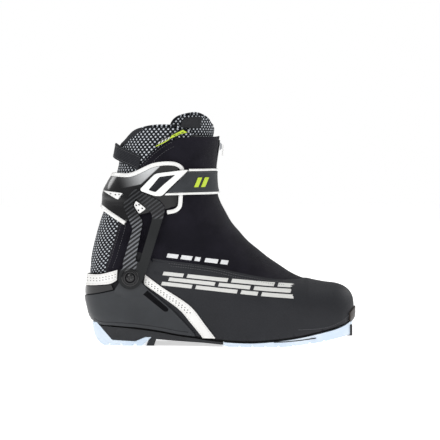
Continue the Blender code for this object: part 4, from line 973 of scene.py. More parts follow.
def studio():
    bpy.context.scene.world = world = bpy.data.worlds.new("studio")
    world.use_nodes = True
    background = world.node_tree.nodes["Background"]
    background.inputs["Color"].default_value = (1, 1, 1, 1)
    rays = world.node_tree.nodes.new("ShaderNodeLightPath")
    level = world.node_tree.nodes.new("ShaderNodeMapRange")
    level.inputs["To Min"].default_value = 0.42
    world.node_tree.links.new(rays.outputs["Is Camera Ray"], level.inputs["Value"])
    world.node_tree.links.new(level.outputs["Result"], background.inputs["Strength"])
    data = bpy.data.cameras.new("camera")
    data.sensor_width = 36
    data.lens = 36 * DISTANCE / FIELD
    data.clip_start, data.clip_end = 0.05, 50
    camera = linked("camera", data)
    rise = math.radians(ELEVATION)
    camera.location = TARGET + Vector((0, -DISTANCE * math.cos(rise), DISTANCE * math.sin(rise)))
    camera.rotation_euler = (TARGET - camera.location).to_track_quat("-Z", "Y").to_euler()
    SCENE.camera = camera
    floor = bpy.data.meshes.new("floor")
    floor.from_pydata([(-6, -6, 0), (6, -6, 0), (6, 6, 0), (-6, 6, 0)], [], [(0, 1, 2, 3)])
    floor = linked("floor", floor)
    finish(floor, "floor")
    lamps = [
        ("key", (-0.9, -1.7, 1.5), 1.0, 15),
        ("fill", (1.4, -1.5, 0.8), 1.2, 7),
        ("top", (0.0, 0.1, 1.9), 1.4, 12),
        ("rim", (-1.3, 1.2, 1.1), 0.8, 7),
        ("rim_toe", (1.4, 1.0, 0.9), 0.8, 6),
    ]
    for name, place, size, power in lamps:
        light = bpy.data.lights.new(name, "AREA")
        light.size = size
        light.energy = power
        lamp = bpy.data.objects.new(name, light)
        lamp.location = place
        lamp.rotation_euler = (Vector((0, 0, 0.12)) - Vector(place)).to_track_quat("-Z", "Y").to_euler()
        SCENE.collection.objects.link(lamp)


# ---------------------------------------------------------------- the sole

SOLE_HEEL_X = -141.5
GROOVE_Y, GROOVE_HALF, GROOVE_DEEP = 11, 3, 2.6
BAR_Y, POCKET_HALF = 7.0, 16.0


def sole_outline(grow, count=90):
    middle = (SOLE_HEEL_X + TOE_X) / 2
    x = middle - (TOE_X - SOLE_HEEL_X) / 2 * np.cos(np.linspace(0, math.pi, count))
    ends = rounded((x - SOLE_HEEL_X) / BACK_ROUND) * rounded((TOE_X - x) / TOE_ROUND)
    lateral = np.stack([x, centre_y(x) - np.interp(x, *WIDTHS[LATERAL].T) * ends], axis=1)
    medial = np.stack([x, centre_y(x) + np.interp(x, *WIDTHS[MEDIAL].T) * ends], axis=1)
    loop = np.vstack([lateral, medial[-2:0:-1]])
    ahead = np.roll(loop, -1, axis=0) - np.roll(loop, 1, axis=0)
    normal = np.stack([ahead[:, 1], -ahead[:, 0]], axis=1)
    normal /= np.linalg.norm(normal, axis=1, keepdims=True)
    return [tuple(p) for p in loop + normal * grow]


def level_line(start, end, count, lift):
    return [(x, float(bottom_z(x)) + lift) for x in np.linspace(start, end, count)]


def sole_piece(name, outline, grow):
    plan = plan_prism(name + "_plan", sole_outline(grow), -20, 80)
    return combine(side_prism(name, outline, -70, 70), plan, "INTERSECT")


def cut_box(piece, low, high):
    outline = [(low[0], low[2]), (high[0], low[2]), (high[0], high[2]), (low[0], high[2])]
    return combine(piece, side_prism("cutter", outline, low[1], high[1]), "DIFFERENCE")


def cut_grooves(piece, bottom_line):
    roof = [(x, z + GROOVE_DEEP) for x, z in bottom_line]
    outline = [(bottom_line[0][0], -5), *roof, (bottom_line[-1][0], -5)]
    for side in (LATERAL, MEDIAL):
        middle = side * GROOVE_Y
        cutter = side_prism("groove", outline, middle - GROOVE_HALF, middle + GROOVE_HALF)
        piece = combine(piece, cutter, "DIFFERENCE")
    return piece


def crisp(obj):
    """Keeps the flat faces of a piece made by Booleans flat."""
    obj.data.set_sharp_from_angle(angle=math.radians(CRISP_ANGLE))
    return obj


def forefoot_outsole():
    bottom = [(4, 1.6), (9, 0), (66, 0), (77, 0.6), (88, 2), (110.6, 4.7), (126.3, 7.4), (143.7, 10.4)]
    bottom += [(147.3, 13.4)]
    top = level_line(4, 146, 40, -0.3)
    piece = sole_piece("forefoot_outsole_rubber", [*bottom, *reversed(top)], -0.4)
    piece = cut_grooves(piece, [(3, 0), *bottom[1:7], (129, 8)])
    piece = cut_box(piece, (130.5, BAR_Y - POCKET_HALF, 0), (152, BAR_Y + POCKET_HALF, 20.9))
    for k, x in enumerate((20, 34, 48, 62, 78, 96, 112)):
        rise = float(np.interp(x, *np.array(bottom).T))
        piece = cut_box(piece, (x, -70, -3), (x + 2.2, 70, rise + (1.4 if k % 2 else 1.1)))
    made(crisp(piece), "icy_rubber", "root", ["forefoot_outsole"])
    slot = np.array([(58, 6.6), (72, 7.0), (90, 8.6), (104, 10.4)])
    for side, label in SIDES:
        x, z = resample(smooth_line(slot), 40).T
        y = np.interp(x, *WIDTHS[side].T) * side + centre_y(x) - side * 0.35
        line = [(a, b, c) for a, b, c in zip(x, y, z - 1.2)]
        made(tube(f"outsole_slot_{label}", line, 0.55), "print_dark", "root")


def heel_outsole():
    outline = [(-141.2, 24.4), (-138.6, 14.6), (-136.0, 7.6), (-131, 2.2), (-126.7, 0), (-84.9, 0)]
    outline += [(-74.4, 9.4), (-81.1, 9.4), (-92.1, 4.9), (-117.3, 6.0), (-134.8, 24.4)]
    piece = cut_grooves(sole_piece("heel_outsole_rubber", outline, -1.2), [(-140, 0), (-82, 0)])
    for start, end in ((-122, -119.4), (-109.3, -106.4), (-94.5, -90.9)):
        piece = cut_box(piece, (start, -70, -3), (end, 70, 2.0))
    made(crisp(piece), "icy_rubber", "root", ["heel_outsole"])


# ---------------------------------------------------------------- the heel

PARTING = level_line(-128, -27, 12, 3.2)
HEEL_LIP = [(-146.2, 53), (-130.8, 56.3), (-113.4, 60.8), (-104, 65), (-84, 65), (-56, 43.2), (-40, 27.5)]
HEEL_LIP += [(-27, 13.6)]
CUP_SLOT = [(-84.5, 62.4), (-80.5, 62.8), (-55.2, 40.6), (-56.4, 37.6), (-60, 37.6), (-85.5, 58.6)]
BAND_TOP = [(-144.3, 76.8), (-130.8, 77.4), (-119.2, 80.3), (-110.4, 83.2)]
BAND_BOTTOM = [(-145.7, 64.2), (-130.8, 66), (-118, 68), (-111.2, 72)]
STRIPE_TOP = [(-81, 78), (-62.6, 64.1), (-40.2, 49.8), (-28, 39.6), (-15.8, 23.4), (-4.8, 9.4)]
STRIPE_LOW = [(-82.4, 67.6), (-62.6, 53.6), (-43.8, 39.6), (-32, 26), (-24, 16.4), (-18.4, 9.8)]


def wrap_lines(low, top, count, power=1.4):
    low, top = (resample(from_back(smooth_line(line)), count, crowded(count, power)) for line in (low, top))
    return low, top


def hinge_plane(side):
    return float(half_width(HINGE_X, HINGE_Z, side))


def pivot_ear(name, side):
    flat = hinge_plane(side) + EAR_OUT
    arc = [polar(HINGE_EAR, a) for a in np.linspace(-25, 205, 40)]
    outline = spaced([*arc, (-113, 63), (-116, 56), (-110, 50), (-78, 50), (-72, 54.5), (-80, 64)], 3)

    def place(x, z, is_outer):
        wide = half_width(x, z, side)
        if is_outer:
            away = np.hypot(x - HINGE_X, z - HINGE_Z)
            cup = wide + HEEL_IN + HEEL_THICK - 0.5
            level = flat + (cup - flat) * smoothstep(away, HINGE_EAR + 1, 26)
        else:
            level = wide + HEEL_IN + 0.6
        return np.stack([x, side * level, z], axis=-1)

    return plate(name, [outline], place, 3.0, 0)


HOLE_RING = 10


def on_bands(name, lines, material, out, radius=0.55, pitch=4.4, side=LATERAL):
    """A row of perforations: small sunk discs along side-view lines."""
    points, faces = [], []
    turns = np.arange(HOLE_RING) * 2 * math.pi / HOLE_RING
    for line in lines:
        run = np.concatenate([[0], np.cumsum(np.hypot(*np.diff(line, axis=0).T))])
        for at in np.arange(pitch / 2, run[-1] - pitch / 3, pitch):
            cx, cz = (np.interp(at, run, line[:, k]) for k in (0, 1))
            round_it = (cx + radius * np.cos(turns), cz + radius * np.sin(turns), side)
            ring, top = on_skin(*round_it, out), on_skin(*round_it, out - 0.5)
            first = len(points)
            points += [*ring, *top]
            faces.append(tuple(range(first, first + HOLE_RING)))
            faces.append(tuple(range(first + 2 * HOLE_RING - 1, first + HOLE_RING - 1, -1)))
            for k in range(HOLE_RING):
                a, b = first + k, first + (k + 1) % HOLE_RING
                faces.append((b, a, a + HOLE_RING, b + HOLE_RING))
    obj = from_faces(name, points, faces)
    outward(obj)
    return made(obj, material, "root")


def heel_pieces():
    low, top = wrap_lines([(-143, 28.5), (-135.5, 27.2), *PARTING], HEEL_LIP, 56)
    cup = shell("heel_cup_shell", [round_back(low, top, 18)], HEEL_IN + HEEL_THICK, HEEL_THICK, 0.5)
    made(cup, "heel_plastic", "root", ["heel_cup"])
    for side, label in SIDES:
        made(crisp(pivot_ear(f"pivot_ear_{label}", side)), "heel_plastic", "root")
        slot = [filleted(CUP_SLOT, 2.5)]
        slot = skin_plate(f"cup_slot_{label}", slot, side, HEEL_IN + HEEL_THICK, -0.4, 0.12, 2.5, 0)
        made(slot, "hole_dark", "root")
    groove = resample(smooth_line([(-135, 29.6), *level_line(-128, -34, 8, 5.6)]), 80)
    for side, label in SIDES:
        line = on_skin(*groove.T, side, HEEL_IN + HEEL_THICK - 0.25)
        made(tube(f"cup_parting_{label}", line, 0.45), "print_dark", "root")
    low, top = wrap_lines(BAND_BOTTOM, BAND_TOP, 36)
    band = shell("heel_band_leather", [round_back(low, top, 8)], 2.5, 1.4, 0.5)
    made(band, "white_leather", "root", ["heel_band"])
    for side, label in SIDES:
        dots = [np.array(BAND_TOP) - (0, 4.2), np.array(BAND_TOP) - (0, 7.0)]
        on_bands(f"heel_band_holes_{label}", dots, "hole_dark", 2.56, 0.5, 3.4, side)
        rows = [skin_path(np.array(BAND_TOP) - (0, 1.5), side, 2.55)]
        rows.append(skin_path(np.array(BAND_BOTTOM) + (0, 1.6), side, 2.55))
        made(stitches(f"heel_band_stitch_{label}", rows), "thread_light", "root")
    low = [(x, z + 1.3) for x, z in HEEL_LIP[:2]] + [(-115, 61.8)]
    top = [(x, z - 1.0) for x, z in BAND_BOTTOM[:2]] + [(-117, 66.9)]
    low, top = wrap_lines(low, top, 32)
    gloss = shell("heel_gloss_inlay", [round_back(low, top, 10)], 2.7, 1.6, 0.5)
    made(gloss, "gloss_black", "root", ["heel_gloss_band"])


def side_stripes():
    low, top = resample(smooth_line(STRIPE_LOW), 50), resample(smooth_line(STRIPE_TOP), 50)
    for side, label in SIDES:
        stripe = shell(f"side_stripe_leather_{label}", [one_side(low, top, 12, side)], 1.75, 1.1, 0.4)
        made(stripe, "white_leather", "root", [f"side_stripe_{label}"])
        rows = []
        for share in (0.12, 0.88):
            rows.append(skin_path(low + (top - low) * share, side, 1.8))
        made(stitches(f"stripe_stitch_{label}", rows, 2.4, 1.7), "thread_light", "root")
        dots = [(low + (top - low) * share)[:34] for share in (0.34, 0.56)]
        on_bands(f"stripe_holes_{label}", dots, "hole_dark", 1.82, 0.6, 4.0, side)


# ---------------------------------------------------------------- the vamp

THROAT = [(96, 71.2), (69.7, 71), (49.3, 74), (18.8, 80.1), (-11.7, 87.3), (-56, 93.0)]
VAMP_BACK_X = -92.0
VAMP_OUT = 0.8


def vamp():
    nose = FRONT[FRONT[:, 0] >= 96.5][::-1]
    wing = [*resample(smooth_line(THROAT[1:]), 60), (-73, 95.5), polar(ARC - 0.6, 26)]
    wing += [polar(ARC - 0.6, a) for a in np.linspace(40, 80, 8)]
    upper = np.vstack([resample(nose, 46, 1 - np.cos(np.linspace(0, math.pi / 2, 46))), THROAT[0], *wing])
    count = len(upper)
    lower_x = np.interp(np.arange(count), [0, 45, count - 1], [TOE_X, 96.5, VAMP_BACK_X])
    lower_x[:46] = upper[:46, 0]
    lift = np.interp(lower_x, [90, 140, 147], [2.8, 3.0, 5])
    lower = np.stack([lower_x, bottom_z(lower_x) + lift], axis=1)
    share = np.sin(np.linspace(0, 1, 26) * math.pi / 2)[None, :, None]
    points = lower[:, None, :] + (upper - lower)[:, None, :] * share
    s, angle = both_of(points)

    def under_cup(x, z, around):
        """It lies closer under the heel cup and the stripes."""
        return VAMP_OUT - 0.7 * smoothstep(-x, -10, 8)

    piece = shell("vamp_shell", [(s, -angle), (s, angle)], under_cup, 1.3, 0.35)
    made(piece, "vamp_leather", "root", ["vamp"])
    edge = smooth_line(THROAT[1:])
    toe_seam = smooth_line([(84, 18.5), (112, 19.5), (130, 25), (143, 33)])
    for side, label in SIDES:
        rows = [skin_path(edge - (0, drop), side, VAMP_OUT + 0.05, 200) for drop in (2.6, 5.2)]
        rows.append(skin_path(toe_seam, side, VAMP_OUT + 0.05))
        made(stitches(f"vamp_stitch_{label}", rows), "thread_dark", "root")


def bar_level(x, z):
    """The vamp's own face, which lies closer behind the ball of the foot."""
    return VAMP_OUT - 0.7 * smoothstep(-x, -10, 8) + 0.03


SPEED_ROWS = [
    (0.0, [(-64, -31), (-27, 18), (22, 40), (44, 80)]),
    (5.6, [(-58, -8), (-4, 30), (34, 74), (78, 82)]),
    (11.2, [(-66, -44), (-40, 4), (8, 54), (58, 78)]),
]
SMALL_MARKS = [(-58, -46), (-43, -31), (-28, -22), (-17, -3), (0, 8)]


SLANT = 0.34


def slanted(start, end, foot, height, fall=0.103, lean=SLANT):
    """A leaning bar whose foot falls away towards the toe."""
    ends = [(start, 0), (end, 0), (end + lean * height, height), (start + lean * height, height)]
    return spaced([(x, foot + up - fall * (x + 62)) for x, up in ends], 4)


def printed_marks():
    """Broken speed lines, in place of lettering: a broad band, and a small row above it."""
    for side, label in SIDES:

        def place(x, z, is_outer, side=side):
            return on_skin(x, z, side, bar_level(x, z) + (0.16 if is_outer else -0.1))

        bars = []
        for up, row in SPEED_ROWS:
            bars += [slanted(a + SLANT * up, b + SLANT * up, 66.0 + up, 4.1) for a, b in row]
        made(plate(f"speed_lines_{label}", bars, place, 3.0, 0), "thread_light", "root")

        def higher(x, z, is_outer, side=side):
            return on_skin(x, z, side, gaiter_offset(x, z, -angle_of(x, z)) + (0.2 if is_outer else -0.1))

        marks = [slanted(a, b, 97.0, 4.6, 0.12) for a, b in SMALL_MARKS]
        made(plate(f"small_lines_{label}", marks, higher, 2.5, 0), "print_silver", "root")


def toe_bumper():
    x = TOE_X - 6.5 * (1 - np.sin(np.linspace(0, math.pi / 2, 26)))
    low = np.stack([x, np.maximum(bottom_z(x) + np.interp(x, [140, TOE_X], [2, 0.5]), 24.5)], axis=1)
    high = np.stack([x, np.interp(x, [140, TOE_X], [33.5, 40.5])], axis=1)
    share = np.linspace(0, 1, 9)[None, :, None]
    points = low[:, None, :] + (high - low)[:, None, :] * share
    s, angle = both_of(points)
    piece = shell("toe_bumper_rubber", [(s, -angle), (s, angle)], 2.7, 1.9, 0.5)
    made(piece, "brown_rubber", "root", ["toe_bumper"])


# ---------------------------------------------------------------- the cuff

RIM_PATH = [(-116, 185.0), (-106, 184.6), (-97.1, 184.9), (-90, 187.2), (-82.9, 190.8), (-72.7, 195.8)]
RIM_PATH += [(-62.6, 197.8), (-50.3, 197.8), (-43.6, 194.6), (-41.4, 189), (-42.6, 172), (-43.2, 156)]
RIM_PATH += [(-44.6, 150.4), (-49, 147), (-57, 145.4)]
LOW_PATH = [(-127, 149.8), (-114, 141.4), (-101.6, 133.4)]
TRIM_HALF = 2.1
RIDGE_Z = [150, 155, 167, 186]
RIDGE = [1.0, 2.2, 4.8, 0.8]
RIDGE_LINE = smooth_line(list(zip(RIDGE_Z, RIDGE)))


def cuff_offset(x, z, angle=None):
    return SHELL_OUT + np.interp(z, *RIDGE_LINE.T) * (1 - smoothstep(x, -116, -88))


def cuff_shell():
    rim = smooth_line(RIM_PATH[:11])
    top = resample(beside(rim, -TRIM_HALF - 0.4), 60, crowded(60, 1.3))
    corner = [(-94, 137.6), (-86, 143), (-74, 146), (-57, 149.4), (-46.4, 152.6)]
    low = resample(np.vstack([beside(LOW_PATH, TRIM_HALF + 0.4), corner]), 60, crowded(60, 1.3))
    front = top[:, 0] > -48
    top[front, 0] = np.minimum(top[front, 0], -46.0)
    back = round_back(from_back(low), from_back(top), 30)
    piece = shell("cuff_shell_gloss", [back], cuff_offset, CUFF_THICK, 0.5)
    made(piece, "cuff_gloss", "cuff", ["cuff_shell"])


def cuff_trims():
    rim = resample(smooth_line(RIM_PATH), 130, crowded(130, 1.15))
    low = resample(smooth_line(LOW_PATH), 40, crowded(40, 1.3))
    for name, path in (("cuff_rim_trim", rim), ("cuff_lower_trim", low)):
        inner, outer = from_back(beside(path, -TRIM_HALF)), from_back(beside(path, TRIM_HALF))
        s, angle = round_back(inner, outer, 9)
        crown = 0.9 * np.sin(np.linspace(0, math.pi, 9))[None, :] - 0.3

        def level(x, z, around, crown=crown):
            return cuff_offset(x, z) + crown

        trim = shell(name + "_white", [(s, angle)], level, CUFF_THICK, 0.6)
        made(trim, "white_trim", "cuff", [name])


ARM_OUTLINE = [(-81.8, 74.7), (-77.2, 88.4), (-59.8, 144.6), (-59.2, 151.2), (-64.4, 157.6), (-84.9, 167.4)]
ARM_OUTLINE += [(-91, 171.4), (-99, 162.6), (-105, 153.6), (-95.6, 131.4), (-94, 127), (-105.6, 88.5)]
ARM_WINDOW = [(-91.6, 92), (-83.4, 133.6), (-84, 137.4), (-94.6, 153.4), (-90.2, 161.2), (-77.4, 149.6)]
ARM_WINDOW += [(-73, 142.6), (-73.2, 137), (-86.6, 92)]
VENT = [(-89.2, 157.6), (-79.6, 149.6), (-86.8, 143.8), (-91.6, 152.6)]
VENT_HOLES = [(-89.2, 152.8), (-87.2, 147.6), (-83.4, 149.8), (-86.4, 153.6)]
BACK_VENT = [(-119, 165.4), (-101.4, 164.8), (-106.3, 157.6)]
BACK_VENT_HOLES = [(-111.6, 163), (-107.6, 162.4), (-104.4, 163)]


def cuff_arms():
    ear = [polar(HINGE_EAR, a) for a in np.linspace(128, 335, 40)]
    outer = spaced([*ear, *filleted(ARM_OUTLINE, 4)[4:-4]], 3)
    window = spaced(filleted(ARM_WINDOW, 3), 3)
    for side, label in SIDES:

        def place(x, z, is_outer, side=side):
            flat = hinge_plane(side) + ARM[int(is_outer)]
            lying = half_width(x, z, side) + cuff_offset(x, z) + (1.8, 4.2)[int(is_outer)]
            away = smoothstep(np.hypot(x - HINGE_X, z - HINGE_Z), 16, 52)
            return np.stack([x, side * (flat + (lying - flat) * away), z], axis=-1)

        arm = plate(f"cuff_arm_carbon_{label}", [outer, window], place, 2.5, 0.6)
        made(arm, "carbon", "cuff", [f"cuff_arm_{label}"])
        vent = [filleted(VENT, 1.6), *(circle(x, z, 0.9) for x, z in VENT_HOLES)]
        vent = skin_plate(f"vent_white_{label}", vent, side, cuff_offset, 0.7, 2.3)
        made(vent, "white_trim", "cuff", [f"vent_plate_{label}"])
        back = [spaced(filleted(BACK_VENT, 1.2), 3), *(circle(x, z, 0.8) for x, z in BACK_VENT_HOLES)]
        back = skin_plate(f"back_vent_white_{label}", back, side, cuff_offset, 0.8, 2.2)
        made(back, "white_trim", "cuff", [f"back_vent_{label}"])


def pivots():
    for side, label in SIDES:
        y = hinge_plane(side)
        hinge = (HINGE_X, HINGE_Z)
        out = y + CAP[1]
        ring = [(5.2, y + CAP[0]), (5.2, out - 0.5), (5.6, out - 0.1), (6.3, out), (7.0, out - 0.1)]
        ring += [(7.3, out - 0.5), (7.8, out - 0.5), (8.2, out - 0.1), (8.9, out - 0.2), (9.5, out - 0.7)]
        ring += [(9.7, y + CAP[0]), (5.2, y + CAP[0])]
        cap = turned(f"pivot_ring_{label}", ring, hinge, side)
        made(cap, "gloss_black", "cuff", [f"pivot_cap_{label}"])
        top = y + SCREW_TOP
        head = [(0, top - 1.1), (1.5, top - 1.1), (1.7, top - 0.2), (2.2, top), (3.2, top - 0.25)]
        head += [(4.3, top - 0.9), (4.9, top - 1.8), (4.9, y + CAP[0]), (SHANK, y + CAP[0] - 0.1)]
        head += [(SHANK, y + 1.8), (0, y + 1.8)]
        screw = turned(f"pivot_button_{label}", head, hinge, side)
        made(screw, "gloss_black", "root", [f"pivot_screw_{label}"])


# ---------------------------------------------------------------- the strap

STRAP_LOW, STRAP_HIGH = 166.8, 189.6
STRAP_TRIM = 2.8
STRAP_ANCHOR_X = -36.0
FRAME = [(-69.3, 187.4), (-84.0, 170.4), (-83.4, 168.2), (-70.2, 163.4), (-62.2, 163.4), (-36.2, 191.8)]
FRAME_WINDOW = [(-65.2, 183.9), (-48.9, 186.2), (-69.4, 167.4), (-76.6, 169.7)]


def strap_offset(x, z, angle=None):
    return 2.9 + (SHELL_OUT + 0.4) * (1 - smoothstep(x, -44, -12))


def strap_grid(low, high, rows, columns=90):
    levels = np.linspace(low, high, rows)
    slant = np.interp(levels, [163.9, 191.1], [-59.8, -35.4])
    grid_s, grid_a = [], []
    for z, lateral_x in zip(levels[::-1], slant[::-1]):
        start, end = -float(angle_of(lateral_x, z)), float(angle_of(STRAP_ANCHOR_X, z))
        grid_a.append(np.linspace(start, end, columns))
        grid_s.append(np.full(columns, FAN_Z - z))
    return np.array(grid_s), np.array(grid_a)


def strap():
    trim_low, trim_high = STRAP_LOW - STRAP_TRIM, STRAP_HIGH + STRAP_TRIM
    face = shell("strap_face", [strap_grid(STRAP_LOW, STRAP_HIGH, 12)], strap_offset, 1.6, 0.3)
    made(face, "strap_face", "strap", ["strap"])
    for name, low, high in (("upper", STRAP_HIGH + 0.3, trim_high), ("lower", trim_low, STRAP_LOW - 0.3)):
        s, angle = strap_grid(low, high, 7)
        crown = 0.7 * np.sin(np.linspace(0, math.pi, 7))[:, None] - 0.1

        def level(x, z, around, crown=crown):
            return strap_offset(x, z) + crown

        piping = shell(f"strap_piping_{name}", [(s, angle)], level, 2.0, 0.5)
        made(piping, "white_trim", "strap", [f"strap_trim_{name}"])
    rows = []
    for z in (STRAP_LOW + 1.2, STRAP_HIGH - 1.2):
        s, angle = strap_grid(z, z, 1, 200)
        points, _ = grid_path(s[0], angle[0], 0.0)
        rows.append(grid_path(s[0], angle[0], strap_offset(points[:, 0], points[:, 2]) + 0.05))
    made(stitches("strap_stitch", rows, 2.2, 1.6, 0.22), "thread_dark", "strap")
    window = filleted(FRAME_WINDOW, 1.6)
    outline = [spaced(filleted(FRAME, 3), 3), spaced(window, 3)]
    loop = skin_plate("strap_loop_frame", outline, LATERAL, 0.0, SHELL_OUT + 2.0, SHELL_OUT + 4.8, 2.5, 0.8)
    made(loop, "white_trim", "strap", ["strap_pull_frame"])
    inside = [spaced(window, 3)]
    inset = skin_plate("strap_loop_inset", inside, LATERAL, 0.0, SHELL_OUT + 2.3, SHELL_OUT + 3.2)
    made(inset, "webbing", "strap")
    chevrons = []
    for x in (-30.4, -23.0):
        chevrons.append(spaced([(x, 172.2), (x + 4.4, 172.2), (x + 8.6, 182.8), (x + 4.2, 182.8)], 2.5))
    mark = skin_plate("strap_chevrons", chevrons, LATERAL, strap_offset, 0.02, 0.55, 2.0, 0.1)
    made(mark, "lime", "strap", ["strap_emblem"])


# ---------------------------------------------------------------- the soft upper

GAITER_TOP = [(-112, 124), (-108, 138), (-100, 160), (-92, 180), (-82.9, 199.3), (-68.7, 215.6)]
GAITER_TOP += [(-52.4, 223.8), (-32, 228.4), (-3.6, 226.6), (10, 226)]
GAITER_LOW = [(-130, 72), (-125, 76), (-112, 80), (-100, 88), (-92, 94), (-56, 92.2), (-11.7, 86.2)]
GAITER_LOW += [(18.8, 78.6), (49.3, 71.8), (69.7, 68.2), (93, 67.5), (150, 66)]
RIM = [(-120, 215), (-106.3, 221.7), (-93.1, 233.9), (-76.8, 239), (-54.4, 239.5), (-38, 236), (-20, 231)]
RIM += [(-5, 229), (10, 228)]
TENDON = [(-160, 77.6), (-130.8, 78.2), (-119.2, 81.2), (-110, 84.2), (-90, 88)]


def lowered(line, drop):
    return [(x, z - drop) for x, z in line]


def joins_cuff(obj):
    """Fabric at the ankle: its placement is baked into its mesh."""
    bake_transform(obj)
    return obj


def gaiter_offset(x, z, angle):
    throat = np.interp(x, *np.array(sorted(GAITER_LOW)).T)
    rise = smoothstep(z - throat, 5, 30)
    folds = 0.30 * np.sin(z * 0.16 + x * 0.05) * np.sin(angle * 2.3 + z * 0.03)
    folds += 0.22 * np.sin(x * 0.11 - z * 0.21) * np.cos(angle * 3.1)
    return -0.45 + rise * (1.05 + folds)


GAITER_WEB = [(228.0, -3.4, 227.2), (214, -52, 223.2), (199, -82.9, 199.3), (181, -92, 180)]
GAITER_WEB += [(166, -100, 160), (150, -106.6, 142), (135, -112, 122), (118, -118, 102), (108, -124, 82)]
GAITER_WEB += [(101, -110, 80.5), (95, -92, 92.6), (88.6, -56, 91.2), (82.8, -11.7, 85.2), (78.4, 18.8, 77.4)]
GAITER_WEB += [(74.6, 49.3, 71.0), (71.9, 82, 68.4)]


def gaiter():
    """One stretch cloth: each row of it runs from the front line to the cloth's own edge."""
    web = smooth_line(GAITER_WEB, 9)
    heights = FRONT[:, 1][::-1]
    front = np.stack([np.interp(web[:, 0], heights, FRONT[:, 0][::-1]), web[:, 0]], axis=1)
    share = np.sin(np.linspace(0, 1, 54) * math.pi / 2)[None, :, None]
    points = web[:, None, 1:] + (front - web[:, 1:])[:, None, :] * share
    s, angle = both_of(points)
    s, angle = np.hstack([s, s[:, -2::-1]]), np.hstack([-angle, angle[:, -2::-1]])
    piece = shell("gaiter_cloth", [(s, angle)], gaiter_offset, 0.9, 0)
    finish(piece, "softshell")
    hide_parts("shaft_gaiter", "gaiter_instep", "ankle_flex_panel")
    joins_cuff(piece)
    cloth = skin(s, angle, 0.0 * s)
    edge = web[:, 1:][9:73]
    rows = []
    for side in (LATERAL, MEDIAL):
        for drop in (2.4, 7.6):
            x, z = resample(beside(edge, drop), 300).T
            level = gaiter_offset(x, z, side * angle_of(x, z)) + 0.05
            line = on_skin(x, z, side, level)
            rows.append((line, on_skin(x, z, side, level + 1) - line))
    seam = finish(stitches("gaiter_stitch", rows, 2.8, 1.9, 0.24), "thread_dark")
    joins_cuff(seam)


def inflated(obj, pinned, cap, pressure=4.0, frames=20):
    """Blows the piece up as sewn cloth, keeps every point within cap of its start, and keeps the shape."""
    start = np.array([vert.co for vert in obj.data.vertices])
    group = obj.vertex_groups.new(name="pinned")
    group.add([int(k) for k in pinned], 1.0, "REPLACE")
    step = obj.modifiers.new("cloth", "CLOTH")
    step.settings.quality = 5
    step.settings.use_pressure = True
    step.settings.uniform_pressure_force = pressure
    step.settings.vertex_group_mass = "pinned"
    step.settings.effector_weights.gravity = 0
    step.point_cache.frame_start, step.point_cache.frame_end = 1, frames
    for now in range(1, frames + 1):
        SCENE.frame_set(now)
    ready = obj.evaluated_get(bpy.context.evaluated_depsgraph_get()).to_mesh()
    moved = np.array([vert.co for vert in ready.vertices]) - start
    far = np.linalg.norm(moved, axis=1, keepdims=True)
    moved *= np.minimum(1, cap * MM / np.maximum(far, 1e-9))
    obj.modifiers.remove(step)
    obj.vertex_groups.remove(group)
    obj.data.vertices.foreach_set("co", (start + moved).astype(np.float32).ravel())
    obj.data.update()
    SCENE.frame_set(1)
    return obj


def rolled_pad(name, s, angle, outer_level, inner_level, roll, pins):
    """A padded wall: its outer face, a rounded upper edge, and its inner face, in one closed skin.

    Row 0 is the upper edge. roll is the number of rows that the edge's half-round takes.
    """
    outer = skin(s, angle, outer_level)
    inner = skin(s, angle, inner_level)
    up = outer[0] - outer[1]
    up /= np.linalg.norm(up, axis=1, keepdims=True)
    half = (outer[0] - inner[0]) / 2
    radius = np.linalg.norm(half, axis=1, keepdims=True)
    turns = np.linspace(math.pi, 0, roll + 2)[1:-1]
    crown = [outer[0] - half - half * math.cos(t) + up * radius * math.sin(t) for t in turns]
    rows = np.concatenate([inner[::-1], np.array(crown), outer])
    count, width = rows.shape[:2]
    faces = quads(count, width).tolist()
    index = np.arange(count * width).reshape(count, width)
    size = len(inner)
    faces += [tuple(int(v) for v in index[:, k][:: -1 if k else 1]) for k in (0, width - 1)]
    faces += [(index[0, k], index[0, k + 1], index[-1, k + 1], index[-1, k]) for k in range(width - 1)]
    faces = [tuple(int(v) for v in face) for face in faces]
    stations = np.concatenate([s[::-1], np.repeat(s[:1], roll, axis=0), s])
    across = np.broadcast_to((angle[0] - angle[0].mean()) * 46, stations.shape)
    stations = np.interp(stations, BACK_S, BACK_RUN)
    obj = from_faces(name, rows.reshape(-1, 3), faces, np.stack([across, stations], -1).reshape(-1, 2))
    outward(obj)
    first = size + roll
    free = np.zeros((count, width), bool)
    free[first - roll + 1 : count - pins, 2:-2] = True
    return obj, np.flatnonzero(~free.ravel())


